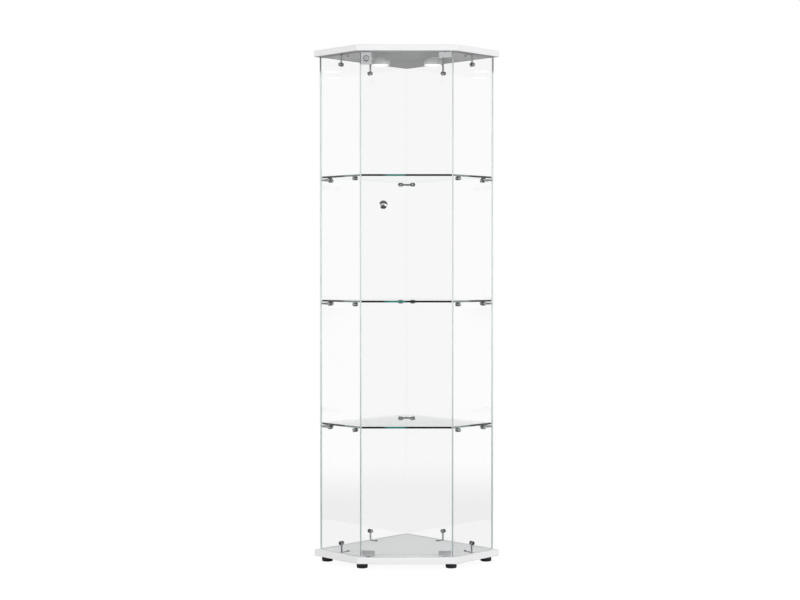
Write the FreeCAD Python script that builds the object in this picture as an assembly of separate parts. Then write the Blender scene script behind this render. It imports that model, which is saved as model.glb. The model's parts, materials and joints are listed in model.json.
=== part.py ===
import FreeCAD, Part
import math
import os

# Corner display cabinet: a five-sided floor and roof board, four fixed glass panels, a glass
# door in the cut-off front corner, three glass shelves and the hardware that joins them.
# Millimetres. X runs to the right, Y from the door towards the room corner, Z up. The origin
# is on the floor, in the middle of the outer box. The right half is drawn and mirrored.

# ---- Boards and feet ----
HEIGHT = 1640.0  # floor to the top of the roof board
BACK_SIDE = 420.0  # each of the two board edges that stand against the room's walls
SHORT_SIDE = 200.0  # each of the two board edges that run forward from those
BOARD_T = 20.0
BOARD_ROUND = 1.0
FOOT_D = 35.0
FOOT_H = 17.0
FOOT_ROUND = 2.5
FOOT_INSET = 32.0  # rear foot's axis to both rear edges, front feet to the front edge
FRONT_FOOT_SIDE_INSET = 33.5  # from a front foot's axis to the short board edge
SIDE_FOOT_INSET = 29.3  # from a side foot's axis to both board edges beside it
FOOT_COUNTERBORE_D = 12.0
FOOT_SEAT_T = 7.0  # foot material left between its screw head and the board

# ---- Glass ----
GLASS_T = 5.0
SHELF_T = 6.0
GLASS_ARRIS = 0.6
SIDE_INSET = 20.0  # short board edge to the side glass
BACK_INSET = 5.0  # rear board edge to the back glass
DOOR_INSET = 12.0  # front board edge to the door glass
SIDE_FRONT_INSET = 22.2  # front board edge to the inner front corner of the side glass
DOOR_END_GAP = 7.0  # door glass to either board
DOOR_SIDE_GAP = 0.4  # door glass to the side glass, seen from the front
PANEL_GAP = 0.5  # between glass panels that meet
PANEL_TOP_GAP = 1.0
SHELF_GAP = 1.0  # shelf edge to the glass round it
LOWEST_SHELF = 403.0  # floor board to the underside of the lowest shelf
SHELF_PITCH = 396.0
TAIL_CLEARANCE = 1.1  # shelf front to the door edge as it swings past

# ---- Clamps through the glass ----
CAP_D = 12.5
CAP_T = 4.8
CAP_CHAMFER = 0.8
PIN_CAP_T = 8.0  # inner cap that carries a shelf by itself
BOLT_D = 4.0
BOLT_GRIP = 2.2  # bolt thread inside each cap
GLASS_HOLE_CLEARANCE = 0.5  # bolt to the glass all round

# ---- Brackets ----
STRIP_T = 2.0
STRIP_W = 6.0
FLOOR_BRACKET_RISE = 31.0  # floor board to the clamp
ROOF_BRACKET_RISE = 32.5  # roof board down to the clamp
BRACKET_REACH = 34.0  # glass to the end of the leg on the board
BRACKET_SCREW_AT = 29.0  # glass to the screw
SIDE_BRACKET_AT = 99.0  # outer glass corner to the bracket on the side glass
BACK_BRACKET_AT = 176.0  # rear glass corner to the bracket on the back glass
CORNER_LEG = 46.0  # outer glass corner to the clamps of a shelf bracket
APEX_LEG = 33.0  # rear glass corner to the clamps of a shelf bracket
PIN_SETBACK = 25.5  # front end of the side glass to the single shelf pin

# ---- Screws ----
SCREW_D = 3.5
SCREW_L = 14.0
SCREW_HEAD_D = 7.0
SCREW_HEAD_T = 2.2
FOOT_SCREW_GRIP = 14.0  # foot screw inside the board
LOW_HEAD_T = 1.0  # flat heads under the hinge clips
HEAD_CHAMFER_SHARE = 0.3  # of a head's height
RECESS_W = 0.9
RECESS_L_SHARE = 0.64  # of a head's diameter
RECESS_DEPTH = 0.6
RECESS_DEPTH_SHARE = 0.6  # of a head's height, where the head is low

# ---- Door clips and hinges ----
CLIP_W = 40.0
CLIP_H = 17.0
CLIP_PLATE_T = 2.5
CLIP_ROUND = 0.8
CLIP_SETBACK = 2.0  # door edge to the clip
CLIP_HEAD_GAP = 0.3  # clip to the screw head below it, and pin collar to the bush
CLIP_WEB_GAP = 0.2  # end of the glass to the clip's web
LINER_T = 0.5
LINER_MARGIN = 1.5
GRUB_D = 4.0
GRUB_SPACING = 22.0
GRUB_SOCKET_D = 2.0
PIVOT_SETBACK = 7.0  # door edge to the hinge axis
PIN_D = 5.0
PIN_COLLAR_LIP = 2.0  # collar beyond the pin all round
PIN_COLLAR_T = 0.8
PIN_REACH = 7.5  # pin below the board face
BUSH_WALL = 1.45
BUSH_FLOOR_T = 2.3
BUSH_PROUD = 0.2
HINGE_PLATE_T = 1.2
HINGE_PLATE_W = 12.0
HINGE_SCREW_AT = 15.0  # hinge axis to the plate's screw
RUNNING_FIT = 0.05
LOOSE_FIT = 0.1

# ---- Magnetic catch ----
HOLDER_W = 16.0
HOLDER_T = 7.0
HOLDER_H = 15.0
HOLDER_BASE_T = 1.2
HOLDER_TAIL = 11.0
CATCH_GAP = 0.4
MAGNET_D = 9.0
MAGNET_T = 4.0
MAGNET_Z = 9.0  # board face to the magnet's axis

# ---- Lock ----
LOCK_PLATE_W = 32.0
LOCK_PLATE_H = 38.0
LOCK_PLATE_T = 2.5
LOCK_PLATE_ROUND = 1.5
LOCK_PLATE_RISE = 3.0  # plate top above the door glass
BEZEL_LIP = 1.5  # bezel beyond the barrel all round
BEZEL_T = 3.0
BEZEL_CHAMFER = 1.2
BARREL_D = 16.0
BARREL_CLEARANCE = 0.5
NUT_WALL = 4.0
NUT_T = 4.0
NUT_GAP = 0.4
PLUG_D = 11.0
PLUG_PROUD = 0.5
KEYWAY_W = 1.4
KEYWAY_H = 7.0
KEYWAY_DEPTH = 2.0
CAM_T = 2.0
CAM_W = 9.0
CAM_TIP_GAP = 2.5  # turned-up cam to the strike's leaf
CAM_OVERLAP = 5.0  # turned-up cam behind the strike's flange
CAM_GAP = 0.4
CAM_SCREW_D = 3.0
CAM_SCREW_L = 6.0
CAM_HEAD_D = 6.5
CAM_HEAD_T = 2.0
STRIKE_T = 1.5
STRIKE_W = 26.0
STRIKE_NUT_GAP = 0.5
STRIKE_REACH = 15.0
STRIKE_SCREW_AT = 9.0  # front of the flange to the screws
STRIKE_GAP = 0.7  # strike to the cam behind it
STRIKE_SCREW_SPACING = 14.0

# ---- Knob ----
KNOB_D = 27.0
KNOB_X = -72.5
KNOB_Z = 1141.0
KNOB_FOOT_D = 16.0
KNOB_FOOT_T = 1.5
KNOB_NECK_D = 9.0
KNOB_NECK_L = 1.5
KNOB_THREAD = 12.0
WASHER_D = 15.0
WASHER_T = 1.0
KNOB_HOLE_CLEARANCE = 1.0  # knob screw to the glass all round
KNOB_SCREW_D = 4.0
KNOB_SCREW_HEAD_D = 8.0
KNOB_SCREW_HEAD_T = 2.5

# ---- Lamps under the roof board ----
LAMP_D = 60.0
LAMP_H = 22.0
LAMP_X = 85.0
LAMP_Y = 178.0
LAMP_WALL = 2.0
LAMP_ROUND = 1.0
LENS_T = 2.0
LENS_RECESS = 0.6
LENS_LEDGE = 2.0
LED_BOARD_GAP = 6.0  # LED board to the housing all round
LED_BOARD_T = 1.6
LED_HEAD_GAP = 1.3  # LED board to the screw heads above it
LED_W = 4.0
LED_T = 0.8
LED_COUNT = 6
LED_EDGE = 7.0  # LED centres to the edge of their board
LED_SPACER_D = 16.0
LED_WIRE_HOLE_D = 4.0
LAMP_HEAD_GAP = 0.5  # screw head to the inside of the housing
CABLE_HOLE_D = 8.0

# ---- Drawing ----
OVERCUT = 1.0  # how far a cutting shape runs past a face
SAME_PLACE = 1e-6
PARALLEL = 0.999  # least cosine between edges that count as parallel

# ---- Positions that follow ----
ROOT2 = math.sqrt(2.0)
V = FreeCAD.Vector
HALF_SPAN = BACK_SIDE / ROOT2
CORNER_Y = SHORT_SIDE / ROOT2
HALF_FRONT = HALF_SPAN - CORNER_Y
APEX_Y = HALF_SPAN + CORNER_Y
FLOOR_Z = FOOT_H + BOARD_T  # upper face of the floor board
ROOF_Z = HEIGHT - BOARD_T  # lower face of the roof board
MID_Z = (FLOOR_Z + ROOF_Z) / 2


def side_line(inset):
    """x - y along a line parallel to the right short board edge, that far inside it."""
    return HALF_FRONT - inset * ROOT2


def back_line(inset):
    """x + y along a line parallel to the right rear board edge, that far inside it."""
    return APEX_Y - inset * ROOT2


def corner(side_inset, back_inset):
    """The point where a side line and a back line meet."""
    side = side_line(side_inset)
    back = back_line(back_inset)
    return V((side + back) / 2, (back - side) / 2, 0)


def outline(front_y, side_inset, back_inset):
    """The five corners of a board or shelf."""
    front_x = side_line(side_inset) + front_y
    outer = corner(side_inset, back_inset)
    return [
        (-front_x, front_y),
        (front_x, front_y),
        (outer.x, outer.y),
        (0, back_line(back_inset)),
        (-outer.x, outer.y),
    ]


GLASS_CORNER = corner(SIDE_INSET, BACK_INSET)
GLASS_APEX = V(0, back_line(BACK_INSET), 0)
BACK_GLASS_L = GLASS_CORNER.distanceToPoint(GLASS_APEX)
SIDE_END_X = side_line(SIDE_INSET + GLASS_T) + SIDE_FRONT_INSET
DOOR_W = 2 * (SIDE_END_X - DOOR_SIDE_GAP)
SIDE_GLASS_L = (GLASS_CORNER.x - SIDE_END_X + GLASS_CORNER.y - SIDE_FRONT_INSET) / ROOT2
DOOR_FRONT_Y = DOOR_INSET
DOOR_REAR_Y = DOOR_INSET + GLASS_T
DOOR_MID_Y = DOOR_INSET + GLASS_T / 2
DOOR_BOTTOM_Z = FLOOR_Z + DOOR_END_GAP
DOOR_TOP_Z = ROOF_Z - DOOR_END_GAP
PIVOT_X = DOOR_W / 2 - PIVOT_SETBACK
TAIL_R = math.hypot(PIVOT_SETBACK, GLASS_T / 2)
SHELF_FRONT_Y = DOOR_MID_Y + TAIL_R + TAIL_CLEARANCE
SHELF_BOTTOMS = [FLOOR_Z + LOWEST_SHELF + i * SHELF_PITCH for i in range(3)]
CAP_R = CAP_D / 2
GLASS_HOLE_D = BOLT_D + 2 * GLASS_HOLE_CLEARANCE
FOOT_SCREW_L = FOOT_SEAT_T + FOOT_SCREW_GRIP
LOCK_X = -DOOR_W / 2 + LOCK_PLATE_W / 2
LOCK_TOP_Z = DOOR_TOP_Z + LOCK_PLATE_RISE
LOCK_Z = LOCK_TOP_Z - LOCK_PLATE_H / 2
PLATE_FRONT_Y = DOOR_FRONT_Y - LOCK_PLATE_T
BEZEL_D = BARREL_D + 2 * BEZEL_LIP
NUT_D = BARREL_D + 2 * NUT_WALL
STRIKE_Y = DOOR_REAR_Y + NUT_GAP + NUT_T + STRIKE_NUT_GAP
CAM_Y = STRIKE_Y + STRIKE_T + STRIKE_GAP
BARREL_REAR_Y = CAM_Y - CAM_GAP
CAM_L = ROOF_Z - STRIKE_T - CAM_TIP_GAP - LOCK_Z
STRIKE_DROP = STRIKE_T + CAM_TIP_GAP + CAM_OVERLAP
CLIP_X = DOOR_W / 2 - CLIP_SETBACK - CLIP_W / 2
CLIP_FRONT_Y = DOOR_FRONT_Y - LINER_T - CLIP_PLATE_T
CLIP_REAR_Y = DOOR_REAR_Y + LINER_T + CLIP_PLATE_T
CLIP_BOARD_GAP = HINGE_PLATE_T + max(LOW_HEAD_T, BUSH_PROUD + PIN_COLLAR_T) + CLIP_HEAD_GAP
CLIP_BOTTOM_Z = FLOOR_Z + CLIP_BOARD_GAP
PIN_COLLAR_D = PIN_D + 2 * PIN_COLLAR_LIP
PIN_BORE_D = PIN_D + 2 * RUNNING_FIT
BUSH_D = PIN_BORE_D + 2 * BUSH_WALL
BUSH_DEPTH = PIN_REACH + 2 * LOOSE_FIT + BUSH_FLOOR_T
KNOB_HOLE_D = KNOB_SCREW_D + 2 * KNOB_HOLE_CLEARANCE
KNOB_SEAT_Y = DOOR_FRONT_Y - WASHER_T
KNOB_NECK_Y = KNOB_SEAT_Y - KNOB_FOOT_T - KNOB_NECK_L
KNOB_BALL_Y = KNOB_NECK_Y - math.sqrt(KNOB_D**2 - KNOB_NECK_D**2) / 2
LAMP_MOUTH_D = LAMP_D - 2 * LAMP_WALL
LAMP_HOLLOW_D = LAMP_MOUTH_D - 2 * LENS_LEDGE
LAMP_SCREW_SPACING = LAMP_HOLLOW_D - SCREW_HEAD_D - 2 * LAMP_HEAD_GAP
LED_BOARD_D = LAMP_HOLLOW_D - 2 * LED_BOARD_GAP
LED_BOARD_DROP = SCREW_HEAD_T + LED_HEAD_GAP
LED_RING_D = LED_BOARD_D - 2 * LED_EDGE
SCREW_HOLE_D = SCREW_D + 2 * LOOSE_FIT
BOLT_HOLE_D = BOLT_D + 2 * LOOSE_FIT
REAR_Y = APEX_Y - BOARD_ROUND * (ROOT2 - 1)  # rearmost point of the rounded boards
ORIGIN_Y = (REAR_Y + KNOB_BALL_Y - KNOB_D / 2) / 2

UP = V(0, 0, 1)
DOWN = V(0, 0, -1)
REARWARD = V(0, 1, 0)
FORWARD = V(0, -1, 0)
nodes = {}


# ---- Shape helpers ----
def prism(points, bottom, height):
    corners = [V(x, y, bottom) for x, y in points]
    face = Part.Face(Part.makePolygon(corners + corners[:1]))
    return face.extrude(V(0, 0, height))


def block(x0, x1, y0, y1, z0, z1):
    return Part.makeBox(x1 - x0, y1 - y0, z1 - z0, V(x0, y0, z0))


def rod(diameter, start, direction, length):
    return Part.makeCylinder(diameter / 2, length, start, direction)


def joined(shapes):
    whole = shapes[0]
    for shape in shapes[1:]:
        whole = whole.fuse(shape)
    return whole.removeSplitter()


def cut(shape, tools):
    for tool in tools:
        shape = shape.cut(tool)
    return shape


def left(shape):
    """The same piece on the left half."""
    return shape.mirror(V(0, 0, 0), V(1, 0, 0))


def overhead(shape):
    """The same piece hanging under the roof board."""
    return shape.mirror(V(0, 0, MID_Z), UP)


def edges_along(shape, direction):
    chosen = []
    for edge in shape.Edges:
        span = edge.Vertexes[-1].Point - edge.Vertexes[0].Point
        if span.Length > 0 and abs(span.normalize().dot(direction)) > PARALLEL:
            chosen.append(edge)
    return chosen


def rims(shape, axis, place):
    """The edges that lie wholly at one place along the Y or Z axis."""
    found = []
    for edge in shape.Edges:
        box = edge.BoundBox
        low = V(box.XMin, box.YMin, box.ZMin).dot(axis)
        high = V(box.XMax, box.YMax, box.ZMax).dot(axis)
        if abs(low - place) < SAME_PLACE and abs(high - place) < SAME_PLACE:
            found.append(edge)
    return found


def turned(shape, degrees, x, y):
    placed = shape.copy()
    rotation = FreeCAD.Rotation(UP, degrees)
    placed.Placement = FreeCAD.Placement(V(x, y, 0), rotation).multiply(shape.Placement)
    return placed


def on_side(shape, from_corner):
    """From panel coordinates to the right side glass: x runs to the rear, y inwards."""
    step = from_corner / ROOT2
    return turned(shape, 45, GLASS_CORNER.x - step, GLASS_CORNER.y - step)


def on_back(shape, from_apex):
    """From panel coordinates to the right back glass: x runs to the rear, y inwards."""
    step = from_apex / ROOT2
    return turned(shape, 135, step, GLASS_APEX.y - step)


def aimed(shape, point, direction):
    """Turns a piece drawn along +Z to a direction and moves it to a point."""
    placed = shape.copy()
    placed.Placement = FreeCAD.Placement(point, FreeCAD.Rotation(UP, direction))
    return placed


# ---- Screws ----
def screw(diameter, length, head_d, head_t):
    """A cross-head screw along +Z, with its head under the origin."""
    head = Part.makeCylinder(head_d / 2, head_t, V(0, 0, -head_t))
    head = head.makeChamfer(head_t * HEAD_CHAMFER_SHARE, rims(head, UP, -head_t))
    shape = joined([head, Part.makeCylinder(diameter / 2, length)])
    half = head_d * RECESS_L_SHARE / 2
    depth = min(RECESS_DEPTH, head_t * RECESS_DEPTH_SHARE)
    slot = block(-half, half, -RECESS_W / 2, RECESS_W / 2, -head_t, -head_t + depth)
    return cut(shape, [slot, turned(slot, 90, 0, 0)])


def screw_hole(point, direction, length):
    return rod(SCREW_HOLE_D, point, direction, length + LOOSE_FIT)


# ---- Clamps and brackets, in panel coordinates ----
def clamp(clamped_t, inner_t):
    """An outer cap, an inner cap and the bolt between them, on an axis along y."""
    inner_y = GLASS_T + clamped_t
    outer = rod(CAP_D, V(0, -CAP_T, 0), REARWARD, CAP_T)
    outer = outer.makeChamfer(CAP_CHAMFER, rims(outer, REARWARD, -CAP_T))
    inner = rod(CAP_D, V(0, inner_y, 0), REARWARD, inner_t)
    inner = inner.makeChamfer(CAP_CHAMFER, rims(inner, REARWARD, inner_y + inner_t))
    bolt = rod(BOLT_D, V(0, -BOLT_GRIP, 0), REARWARD, inner_y + 2 * BOLT_GRIP)
    socket_l = inner_y + 2 * BOLT_GRIP + 2 * LOOSE_FIT
    socket = rod(BOLT_HOLE_D, V(0, -BOLT_GRIP - LOOSE_FIT, 0), REARWARD, socket_l)
    return outer.cut(socket), inner.cut(socket), bolt


def eye(x, z):
    return rod(CAP_D, V(x, GLASS_T, z), REARWARD, STRIP_T)


def bolt_hole(x, z):
    start = V(x, GLASS_T - OVERCUT, z)
    return rod(BOLT_HOLE_D, start, REARWARD, STRIP_T + 2 * OVERCUT)


def board_bracket(rise):
    """A strip up the glass from a leg on the floor board."""
    clamp_z = FLOOR_Z + rise
    half = STRIP_W / 2
    strip = block(-half, half, GLASS_T, GLASS_T + STRIP_T, FLOOR_Z, clamp_z)
    leg_end = GLASS_T + BRACKET_REACH
    leg = block(-half, half, GLASS_T, leg_end - half, FLOOR_Z, FLOOR_Z + STRIP_T)
    tip = rod(STRIP_W, V(0, leg_end - half, FLOOR_Z), UP, STRIP_T)
    whole = joined([strip, leg, tip, eye(0, clamp_z)])
    screw_at = V(0, GLASS_T + BRACKET_SCREW_AT, FLOOR_Z - OVERCUT)
    hole = rod(SCREW_HOLE_D, screw_at, UP, STRIP_T + 2 * OVERCUT)
    return cut(whole, [bolt_hole(0, clamp_z), hole])


def shelf_leg(x0, x1, clamp_x, clamp_z):
    """One half of a shelf bracket: a strip on the glass that ends in a round eye."""
    half = STRIP_W / 2
    strip = block(x0, x1, GLASS_T, GLASS_T + STRIP_T, clamp_z - half, clamp_z + half)
    return joined([strip, eye(clamp_x, clamp_z)]).cut(bolt_hole(clamp_x, clamp_z))


def corner_bracket(clamp_z):
    """A shelf bracket bent round the outer glass corner."""
    forward_leg = shelf_leg(-CORNER_LEG, -GLASS_T, -CORNER_LEG, clamp_z)
    back_leg = shelf_leg(GLASS_T, CORNER_LEG, CORNER_LEG, clamp_z)
    return joined([on_side(forward_leg, 0), on_back(back_leg, BACK_GLASS_L)])


def apex_bracket(clamp_z):
    """A shelf bracket bent round the rear glass corner."""
    leg = on_back(shelf_leg(-APEX_LEG, -GLASS_T, -APEX_LEG, clamp_z), 0)
    return joined([leg, left(leg)])


# ---- Boards, feet and fixed glass ----
def board(bottom):
    shape = prism(outline(0, 0, 0), bottom, BOARD_T)
    return shape.makeFillet(BOARD_ROUND, shape.Edges)


def foot_places():
    outer = corner(SIDE_FOOT_INSET, SIDE_FOOT_INSET)
    front_x = side_line(FRONT_FOOT_SIDE_INSET) + FOOT_INSET
    return {
        "foot_front_left": V(-front_x, FOOT_INSET, 0),
        "foot_front_right": V(front_x, FOOT_INSET, 0),
        "foot_side_left": V(-outer.x, outer.y, 0),
        "foot_side_right": V(outer.x, outer.y, 0),
        "foot_rear": V(0, back_line(FOOT_INSET), 0),
    }


def foot(place):
    shape = rod(FOOT_D, place, UP, FOOT_H)
    shape = shape.makeFillet(FOOT_ROUND, rims(shape, UP, 0))
    counterbore = rod(FOOT_COUNTERBORE_D, place, UP, FOOT_H - FOOT_SEAT_T)
    return cut(shape, [counterbore, screw_hole(place, UP, FOOT_H)])


def panel(x0, x1):
    """An upright pane in panel coordinates."""
    pane = block(x0, x1, 0, GLASS_T, FLOOR_Z, ROOF_Z - PANEL_TOP_GAP)
    return pane.makeChamfer(GLASS_ARRIS, edges_along(pane, UP))


def shelf(bottom):
    side_inset = SIDE_INSET + GLASS_T + SHELF_GAP
    back_inset = BACK_INSET + GLASS_T + SHELF_GAP
    shape = prism(outline(SHELF_FRONT_Y, side_inset, back_inset), bottom, SHELF_T)
    return shape.makeChamfer(GLASS_ARRIS, shape.Edges)


# ---- Clamp places on the right half: placing function, distance, height, strip, inner cap ----
def clamp_places():
    places = []
    for z in (FLOOR_Z + FLOOR_BRACKET_RISE, ROOF_Z - ROOF_BRACKET_RISE):
        places.append((on_side, SIDE_BRACKET_AT, z, STRIP_T, CAP_T))
        places.append((on_back, BACK_BRACKET_AT, z, STRIP_T, CAP_T))
    for bottom in SHELF_BOTTOMS:
        z = bottom - CAP_R
        places.append((on_side, CORNER_LEG, z, STRIP_T, CAP_T))
        places.append((on_back, BACK_GLASS_L - CORNER_LEG, z, STRIP_T, CAP_T))
        places.append((on_back, APEX_LEG, z, STRIP_T, CAP_T))
        places.append((on_side, SIDE_GLASS_L - PIN_SETBACK, z, 0, PIN_CAP_T))
    return places


def build_carcass():
    places = foot_places()
    foot_screw = screw(SCREW_D, FOOT_SCREW_L, SCREW_HEAD_D, SCREW_HEAD_T)
    seat = V(0, 0, FOOT_H - FOOT_SEAT_T)
    floor_board = board(FOOT_H)
    nodes["foot_screws"] = [aimed(foot_screw, p + seat, UP) for p in places.values()]
    for name, place in places.items():
        nodes[name] = [foot(place)]
        floor_board = floor_board.cut(screw_hole(place + seat, UP, FOOT_SCREW_L))
    nodes["bottom_board"] = [floor_board]
    nodes["top_board"] = [board(ROOF_Z)]
    for bottom, name in zip(SHELF_BOTTOMS, ("lower", "middle", "upper")):
        nodes["shelf_" + name] = [shelf(bottom)]


def build_glass_and_clamps():
    side_glass = on_side(panel(-SIDE_GLASS_L, -GLASS_T - PANEL_GAP), 0)
    back_right = on_back(panel(-BACK_GLASS_L, -GLASS_T - PANEL_GAP), 0)
    back_left = left(on_back(panel(-BACK_GLASS_L, 0), 0))
    holes = []
    outer_caps = []
    inner_caps = []
    pins = []
    bolts = []
    for place, distance, z, clamped_t, inner_t in clamp_places():
        hole = rod(GLASS_HOLE_D, V(0, -OVERCUT, 0), REARWARD, GLASS_T + 2 * OVERCUT)
        pieces = clamp(clamped_t, inner_t)
        placed = [place(s.translated(V(0, 0, z)), distance) for s in (hole,) + pieces]
        both = [(s, left(s)) for s in placed]
        holes.extend(both[0])
        outer_caps.extend(both[1])
        (inner_caps if clamped_t else pins).extend(both[2])
        bolts.extend(both[3])
    nodes["side_glass_right"] = [cut(side_glass, holes[0::2])]
    nodes["side_glass_left"] = [cut(left(side_glass), holes[1::2])]
    nodes["back_glass_right"] = [cut(back_right, holes[0::2])]
    nodes["back_glass_left"] = [cut(back_left, holes[1::2])]
    nodes["clamp_caps_outer"] = outer_caps
    nodes["clamp_caps_inner"] = inner_caps
    nodes["shelf_pins"] = pins
    nodes["clamp_bolts"] = bolts


def build_brackets():
    panes = (("side", on_side, SIDE_BRACKET_AT), ("back", on_back, BACK_BRACKET_AT))
    for name, place, distance in panes:
        low = place(board_bracket(FLOOR_BRACKET_RISE), distance)
        high = overhead(place(board_bracket(ROOF_BRACKET_RISE), distance))
        nodes["bracket_bottom_" + name + "_right"] = [low]
        nodes["bracket_bottom_" + name + "_left"] = [left(low)]
        nodes["bracket_top_" + name + "_right"] = [high]
        nodes["bracket_top_" + name + "_left"] = [left(high)]
    apex_brackets = []
    for bottom, name in zip(SHELF_BOTTOMS, ("lower", "middle", "upper")):
        right_one = corner_bracket(bottom - CAP_R)
        nodes["shelf_bracket_" + name + "_right"] = [right_one]
        nodes["shelf_bracket_" + name + "_left"] = [left(right_one)]
        apex_brackets.append(apex_bracket(bottom - CAP_R))
    nodes["shelf_brackets_rear"] = apex_brackets


# ---- Door ----
def clip(x):
    """A channel that grips the lower end of the door glass, centred on x."""
    x0 = x - CLIP_W / 2
    x1 = x + CLIP_W / 2
    top = CLIP_BOTTOM_Z + CLIP_H
    shape = block(x0, x1, CLIP_FRONT_Y, CLIP_REAR_Y, CLIP_BOTTOM_Z, top)
    shape = shape.makeFillet(CLIP_ROUND, edges_along(shape, UP))
    slot_y0 = DOOR_FRONT_Y - LINER_T
    slot_y1 = DOOR_REAR_Y + LINER_T
    web_top = DOOR_BOTTOM_Z - CLIP_WEB_GAP
    slot = block(x0 - OVERCUT, x1 + OVERCUT, slot_y0, slot_y1, web_top, top + OVERCUT)
    return cut(shape, [slot] + grub_holes(x))


def clip_screw_z():
    return (DOOR_BOTTOM_Z + CLIP_BOTTOM_Z + CLIP_H) / 2


def grub_holes(x):
    holes = []
    for dx in (-GRUB_SPACING / 2, GRUB_SPACING / 2):
        start = V(x + dx, DOOR_REAR_Y, clip_screw_z())
        hole_l = CLIP_REAR_Y - DOOR_REAR_Y + OVERCUT
        holes.append(rod(GRUB_D + 2 * RUNNING_FIT, start, REARWARD, hole_l))
    return holes


def grub_screws(x):
    screws = []
    for dx in (-GRUB_SPACING / 2, GRUB_SPACING / 2):
        start = V(x + dx, DOOR_REAR_Y + LINER_T, clip_screw_z())
        body = rod(GRUB_D, start, REARWARD, CLIP_PLATE_T)
        mouth = start + V(0, CLIP_PLATE_T / 2, 0)
        screws.append(body.cut(rod(GRUB_SOCKET_D, mouth, REARWARD, CLIP_PLATE_T)))
    return screws


def liners(x):
    half = CLIP_W / 2 - LINER_MARGIN
    z1 = CLIP_BOTTOM_Z + CLIP_H - LINER_MARGIN
    front = block(x - half, x + half, DOOR_FRONT_Y - LINER_T, DOOR_FRONT_Y, DOOR_BOTTOM_Z, z1)
    rear = block(x - half, x + half, DOOR_REAR_Y, DOOR_REAR_Y + LINER_T, DOOR_BOTTOM_Z, z1)
    return [front, rear]


def hinge_pin():
    """The collared pin in the lower hinge clip."""
    top = DOOR_BOTTOM_Z - CLIP_WEB_GAP
    bottom = FLOOR_Z - PIN_REACH
    pin = rod(PIN_D, V(PIVOT_X, DOOR_MID_Y, bottom), UP, top - bottom)
    collar_z = CLIP_BOTTOM_Z - PIN_COLLAR_T
    collar = rod(PIN_COLLAR_D, V(PIVOT_X, DOOR_MID_Y, collar_z), UP, PIN_COLLAR_T)
    return joined([pin, collar])


def hinge_plate():
    """The round-ended plate on the floor board that steadies the bush."""
    screw_x = PIVOT_X - HINGE_SCREW_AT
    half = HINGE_PLATE_W / 2
    bar = block(screw_x, PIVOT_X, DOOR_MID_Y - half, DOOR_MID_Y + half, 0, HINGE_PLATE_T)
    ends = [rod(HINGE_PLATE_W, V(x, DOOR_MID_Y, 0), UP, HINGE_PLATE_T) for x in (screw_x, PIVOT_X)]
    through = HINGE_PLATE_T + 2 * OVERCUT
    bush_hole = rod(BUSH_D + 2 * LOOSE_FIT, V(PIVOT_X, DOOR_MID_Y, -OVERCUT), UP, through)
    hole = rod(SCREW_HOLE_D, V(screw_x, DOOR_MID_Y, -OVERCUT), UP, through)
    shape = cut(joined([bar] + ends), [bush_hole, hole])
    return shape.translated(V(0, 0, FLOOR_Z))


def hinge_bush():
    top = FLOOR_Z + HINGE_PLATE_T + BUSH_PROUD
    bottom = V(PIVOT_X, DOOR_MID_Y, FLOOR_Z - BUSH_DEPTH)
    shape = rod(BUSH_D, bottom, UP, top - bottom.z)
    bore_from = V(PIVOT_X, DOOR_MID_Y, FLOOR_Z - PIN_REACH - 2 * LOOSE_FIT)
    return shape.cut(rod(PIN_BORE_D, bore_from, UP, top - bore_from.z + OVERCUT))


def build_hinges():
    lower = clip(CLIP_X)
    pin = hinge_pin()
    web_hole = rod(PIN_BORE_D, V(PIVOT_X, DOOR_MID_Y, FLOOR_Z), UP, DOOR_END_GAP)
    lower = lower.cut(web_hole)
    nodes["hinge_clip_bottom"] = [lower]
    nodes["hinge_clip_top"] = [overhead(lower)]
    nodes["hinge_pins"] = [pin, overhead(pin)]
    nodes["hinge_bushes"] = [hinge_bush(), overhead(hinge_bush())]
    nodes["hinge_plates"] = [hinge_plate(), overhead(hinge_plate())]
    nodes["catch_clip"] = [clip(-CLIP_X)]
    hinge_liners = liners(CLIP_X)
    nodes["clip_liners"] = hinge_liners + [overhead(s) for s in hinge_liners] + liners(-CLIP_X)
    hinge_grubs = grub_screws(CLIP_X)
    others = [overhead(s) for s in hinge_grubs] + grub_screws(-CLIP_X)
    nodes["clip_grub_screws"] = hinge_grubs + others


def build_catch():
    x = -CLIP_X
    half = HOLDER_W / 2
    face_y = CLIP_REAR_Y + CATCH_GAP
    rear_y = face_y + HOLDER_T
    tail_y = rear_y + HOLDER_TAIL
    base_top = FLOOR_Z + HOLDER_BASE_T
    tongue = rod(HINGE_PLATE_W, V(x, DOOR_MID_Y, FLOOR_Z), UP, HOLDER_BASE_T)
    neck_half = HINGE_PLATE_W / 2
    neck = block(x - neck_half, x + neck_half, DOOR_MID_Y, face_y, FLOOR_Z, base_top)
    base = block(x - half, x + half, face_y, tail_y, FLOOR_Z, base_top)
    upright = block(x - half, x + half, face_y, rear_y, FLOOR_Z, FLOOR_Z + HOLDER_H)
    axis = V(x, face_y, FLOOR_Z + MAGNET_Z)
    pocket = rod(MAGNET_D + 2 * LOOSE_FIT, axis, REARWARD, MAGNET_T + LOOSE_FIT)
    screw_at = V(x, rear_y + HOLDER_TAIL / 2, base_top)
    hole_from = screw_at - V(0, 0, HOLDER_BASE_T + OVERCUT)
    hole = rod(SCREW_HOLE_D, hole_from, UP, HOLDER_BASE_T + 2 * OVERCUT)
    nodes["catch_holder"] = [cut(joined([tongue, neck, base, upright]), [pocket, hole])]
    nodes["catch_magnet"] = [rod(MAGNET_D, axis, REARWARD, MAGNET_T)]
    return screw_at


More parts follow.
